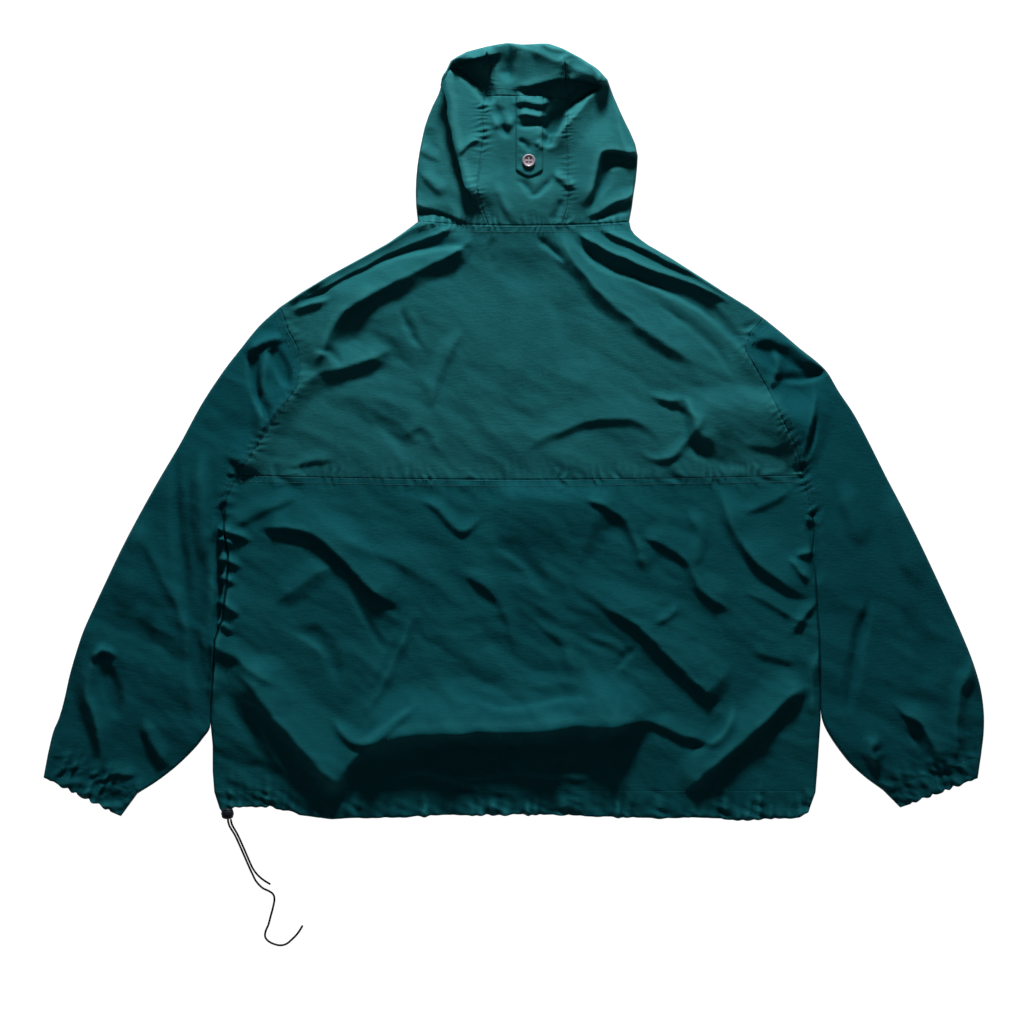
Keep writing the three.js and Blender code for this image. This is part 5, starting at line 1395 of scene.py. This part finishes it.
@dataclass
class Button:
    """The four-hole button that closes the tab."""

    x: float = 16.5
    y: float = 311.5
    radius: float = 7.6
    thick: float = 2.4
    hole: float = 1.25
    spacing: float = 1.95

    def build(self, relief: Relief) -> bpy.types.Object:
        """A disc whose height follows its radius: a rounded rim, a dish, and four pits.

        Args:
            relief: where it lies.

        Returns:
            The button.
        """
        radius = self.radius * np.array([0, 0.04, 0.08, 0.12, 0.16, 0.2, 0.24, 0.28, 0.32, 0.36, 0.4, 0.46, 0.54, 0.62,
                                         0.68, 0.73, 0.78, 0.84, 0.9, 0.95, 0.985, 1.0])
        angle = np.linspace(0, 2 * math.pi, 97)[:-1]
        x, y = radius[:, None] * np.cos(angle), radius[:, None] * np.sin(angle)
        share = radius / self.radius
        rim = 0.5 * np.exp(-(((share - 0.85) / 0.1) ** 2)) - 0.9 * smoothstep((share - 0.9) / 0.1)
        dish = -0.55 * (1 - smoothstep((share - 0.55) / 0.2))
        z = self.thick - 0.5 + (rim + dish)[:, None] + 0 * x
        for sign_x, sign_y in ((1, 1), (-1, 1), (-1, -1), (1, -1)):
            off = np.hypot(x - sign_x * self.spacing, y - sign_y * self.spacing)
            z = z - 1.5 * (1 - smoothstep((off - self.hole + 0.3) / 0.35))
        top = np.stack([x, y, z], axis=-1)
        side = np.stack([x[-1], y[-1], np.full(len(angle), 0.5)], axis=-1)
        foot = np.stack([0.93 * x[-1], 0.93 * y[-1], np.zeros(len(angle))], axis=-1)
        base = np.stack([0 * x[-1], 0 * y[-1], np.zeros(len(angle))], axis=-1)
        rows = np.concatenate([top, side[None], foot[None], base[None]])[::-1]
        step = 6.0
        slope_x = (relief.top(self.x + step, self.y) - relief.top(self.x - step, self.y)) / (2 * step)
        slope_y = (relief.top(self.x, self.y + step) - relief.top(self.x, self.y - step)) / (2 * step)
        place = rows.reshape(-1, 3)
        points = place + np.array([self.x, self.y, 0])
        points[:, 2] += relief.top(self.x, self.y) + 3.6 + slope_x * place[:, 0] + slope_y * place[:, 1]
        made = mesh_object("tab_button", points, grid_faces(len(rows), len(angle), True), BUTTON_FINISH)
        weld_poles(made)
        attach(made, "root")
        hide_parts("hood_button")
        LOG.info("%s: %d points", made.name, len(points))
        return made


def weld_poles(made: bpy.types.Object) -> None:
    """Merges a mesh's doubled points, such as those at a pole, in place."""
    welder = made.modifiers.new("weld", "WELD")
    welder.merge_threshold = 1e-5
    made.modifiers.move(len(made.modifiers) - 1, 0)


@dataclass
class Drawcord:
    """The stopper at the hem's left end and the cord's two free ends."""

    centre: tuple[float, float, float] = (-332.6, -443.9, 5.9)
    radius: float = 7.3
    half: float = 6.8
    flatten: float = 0.79

    def stopper(self) -> bpy.types.Object:
        """A barrel turned round the cord's line: its radius swells, with a groove and a lip."""
        angle = np.linspace(0, 2 * math.pi, 41)[:-1]
        place = np.linspace(-1, 1, 35)
        swell = np.clip(1 - np.abs(place) ** 3.2, 0, 1) ** 0.5
        groove = 1 - 0.10 * np.exp(-(((np.abs(place) - 0.42) / 0.07) ** 2))
        radius = self.radius * swell * groove
        along = self.half * place
        x = radius[:, None] * np.sin(angle)
        z = radius[:, None] * np.cos(angle) * self.flatten
        points = np.stack([x, along[:, None] + 0 * x, z], axis=-1).reshape(-1, 3) + np.array(self.centre)
        made = mesh_object("hem_stopper", points, grid_faces(len(place), len(angle), True), STOPPER_FINISH)
        weld_poles(made)
        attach(made, "root")
        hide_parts("cord_stopper")
        return made

    @staticmethod
    def end(name: str, node: str, route: np.ndarray) -> tuple[bpy.types.Object, float]:
        """A round cord along its route.

        Args:
            name: the piece's name.
            node: the solid that it replaces.
            route: the centreline's places in millimetres.

        Returns:
            The cord and its length in metres.
        """
        line = smooth_line(route, 4) * MM
        curve = bpy.data.curves.new(name, "CURVE")
        curve.dimensions = "3D"
        curve.bevel_depth = CORD_DIAMETER / 2
        curve.bevel_resolution = 4
        curve.use_fill_caps = True
        spline = curve.splines.new("POLY")
        spline.points.add(len(line) - 1)
        spline.points.foreach_set("co", np.hstack([line, np.ones((len(line), 1))]).ravel())
        curve.materials.append(CORD_FINISH.material())
        made = bpy.data.objects.new(name, curve)
        bpy.context.scene.collection.objects.link(made)
        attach(made, "root")
        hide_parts(node)
        return made, float(np.linalg.norm(np.diff(line, axis=0), axis=1).sum())

    def build(self) -> None:
        stopper = self.stopper()
        for name, node, route, pieces in (
            ("cord_end_long", "drawcord_long", LONG_END, [stopper]),
            ("cord_end_short", "drawcord_short", SHORT_END, []),
        ):
            made, length = self.end(name, node, route)
            LOG.info("%s: %.3f m", name, length)


@dataclass
class Stitching:
    """Rows of thread stitches laid on the relief."""

    pitch: float = 3.1
    thread: float = 0.34
    fill: float = 0.78

    def row(self, name: str, line: np.ndarray, offset: float, relief: Relief) -> None:
        """A row of stitches beside a line: spindles with four sides and four stations each.

        Args:
            name: the piece's name.
            line: plan places of the seam.
            offset: how far to its left the row runs.
            relief: what it lies on.
        """
        step = np.gradient(line, axis=0)
        step = step / np.hypot(step[:, 0], step[:, 1])[:, None]
        beside = line + offset * np.stack([-step[:, 1], step[:, 0]], axis=1)
        length = np.concatenate([[0], np.cumsum(np.hypot(*np.diff(beside, axis=0).T))])
        count = int((length[-1] - 5) / self.pitch)
        start = 2.5 + self.pitch * np.arange(count)
        place = start[:, None] + self.pitch * self.fill * np.array([0, 0.25, 0.75, 1.0])
        x, y = (np.interp(place, length, beside[:, k]) for k in (0, 1))
        z = relief.top(x, y) + np.array([-0.25, 0.18, 0.18, -0.25])
        shift = leaned(relief, x, y, z)
        tangent = np.stack([x[:, -1] - x[:, 0], y[:, -1] - y[:, 0]], axis=1)
        tangent = tangent / np.hypot(tangent[:, 0], tangent[:, 1])[:, None]
        side = np.stack([-tangent[:, 1], tangent[:, 0], 0 * tangent[:, 0]], axis=1)[:, None, None]
        up = np.array([0, 0, 1.0])[None, None, None]
        turn = np.array([0, 0.5, 1.0, 1.5]) * math.pi
        size = self.thread * np.array([0.45, 1, 1, 0.45])[None, :, None, None]
        ring = np.cos(turn)[None, None, :, None] * side + np.sin(turn)[None, None, :, None] * up
        points = (shift[:, :, None] + size * ring).reshape(-1, 3)
        tube = grid_faces(4, 4, True)
        caps = np.array([[3, 2, 1, 0], [12, 13, 14, 15]])
        one = np.concatenate([tube, caps])
        faces = (one[None] + 16 * np.arange(count)[:, None, None]).reshape(-1, 4)
        made = mesh_object(name, points, faces, THREAD)
        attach(made, "root")

    def build(self, relief: Relief) -> None:
        """Lays every row of every seam."""
        for key, seam in SEAMS.items():
            line = smooth_line(seam.line, 12)
            for number, offset in enumerate(seam.rows):
                self.row(f"stitches_{key}_{number + 1}", line, offset, relief)
        LOG.info("stitching: %d seams", len(SEAMS))


@dataclass
class Studio:
    """Pale floor, one low key light from the hood's side, a weak fill, and the camera."""

    view_width: float = 1.1878
    centre: tuple[float, float] = (-0.0029, -0.0945)
    distance: float = 6.0

    def camera(self) -> None:
        """Sets the camera straight above the garment, with the hood at the top."""
        data = bpy.data.cameras.new("camera")
        data.sensor_width = 36
        data.lens = 36 * self.distance / self.view_width
        data.clip_end = 50
        made = bpy.data.objects.new("camera", data)
        made.location = (*self.centre, self.distance)
        bpy.context.scene.collection.objects.link(made)
        bpy.context.scene.camera = made

    @staticmethod
    def lamp(name: str, place: tuple[float, float, float], size: float, power: float) -> None:
        """An area light that shines at the garment's middle."""
        data = bpy.data.lights.new(name, "AREA")
        data.shape = "DISK"
        data.size = size
        data.energy = power
        made = bpy.data.objects.new(name, data)
        made.location = place
        made.rotation_mode = "QUATERNION"
        made.rotation_quaternion = (-made.location).to_track_quat("-Z", "Y")
        bpy.context.scene.collection.objects.link(made)

    def build(self) -> None:
        """Makes the floor, the lights and the world."""
        size = 8.0
        corners = np.array([(-size, -size, -0.3), (size, -size, -0.3), (size, size, -0.3), (-size, size, -0.3)])
        corners[:, :2] /= MM
        material = bpy.data.materials.new("pale_floor")
        material.use_nodes = True
        shader = material.node_tree.nodes["Principled BSDF"]
        shader.inputs["Base Color"].default_value = (0.12, 0.12, 0.12, 1)
        shader.inputs["Roughness"].default_value = 0.9
        shader.inputs["Specular IOR Level"].default_value = 0.1
        shader.inputs["Emission Color"].default_value = (1, 1, 1, 1)
        shader.inputs["Emission Strength"].default_value = 1.0
        mesh = bpy.data.meshes.new("floor")
        mesh.from_pydata((corners * MM).tolist(), [], [(0, 1, 2, 3)])
        mesh.materials.append(material)
        floor = bpy.data.objects.new("floor", mesh)
        bpy.context.scene.collection.objects.link(floor)
        self.lamp("key", (0.06, 1.75, 0.72), 0.32, 80)
        self.lamp("fill", (-0.3, -0.6, 3.0), 2.0, 7)
        world = bpy.data.worlds.new("studio")
        world.use_nodes = True
        world.node_tree.nodes["Background"].inputs["Color"].default_value = (0.75, 0.85, 1.0, 1)
        world.node_tree.nodes["Background"].inputs["Strength"].default_value = 0.05
        bpy.context.scene.world = world
        bpy.context.scene.view_settings.view_transform = "Standard"


def main() -> None:
    """Builds the studio, the cords, the cloth, the button and the stitching."""
    logging.basicConfig(level=logging.INFO, format="%(name)s %(message)s")
    studio = Studio()
    studio.camera()
    Drawcord().build()
    relief = make_relief()
    back, hood = Back(), Hood()
    panels = [back.yoke(relief), back.lower(relief), back.front(), *back.hem(relief)]
    for side in ("left", "right"):
        arm = Arm(side)
        panels += [arm.sleeve(relief), arm.cuff(relief), hood.side(relief, side)]
    panels += [hood.centre(relief), hood.crown(relief), hood.tab(relief)]
    for panel in panels:
        panel.build(relief)
    Button().build(relief)
    Stitching().build(relief)
    studio.build()


if __name__ == "__main__":
    main()
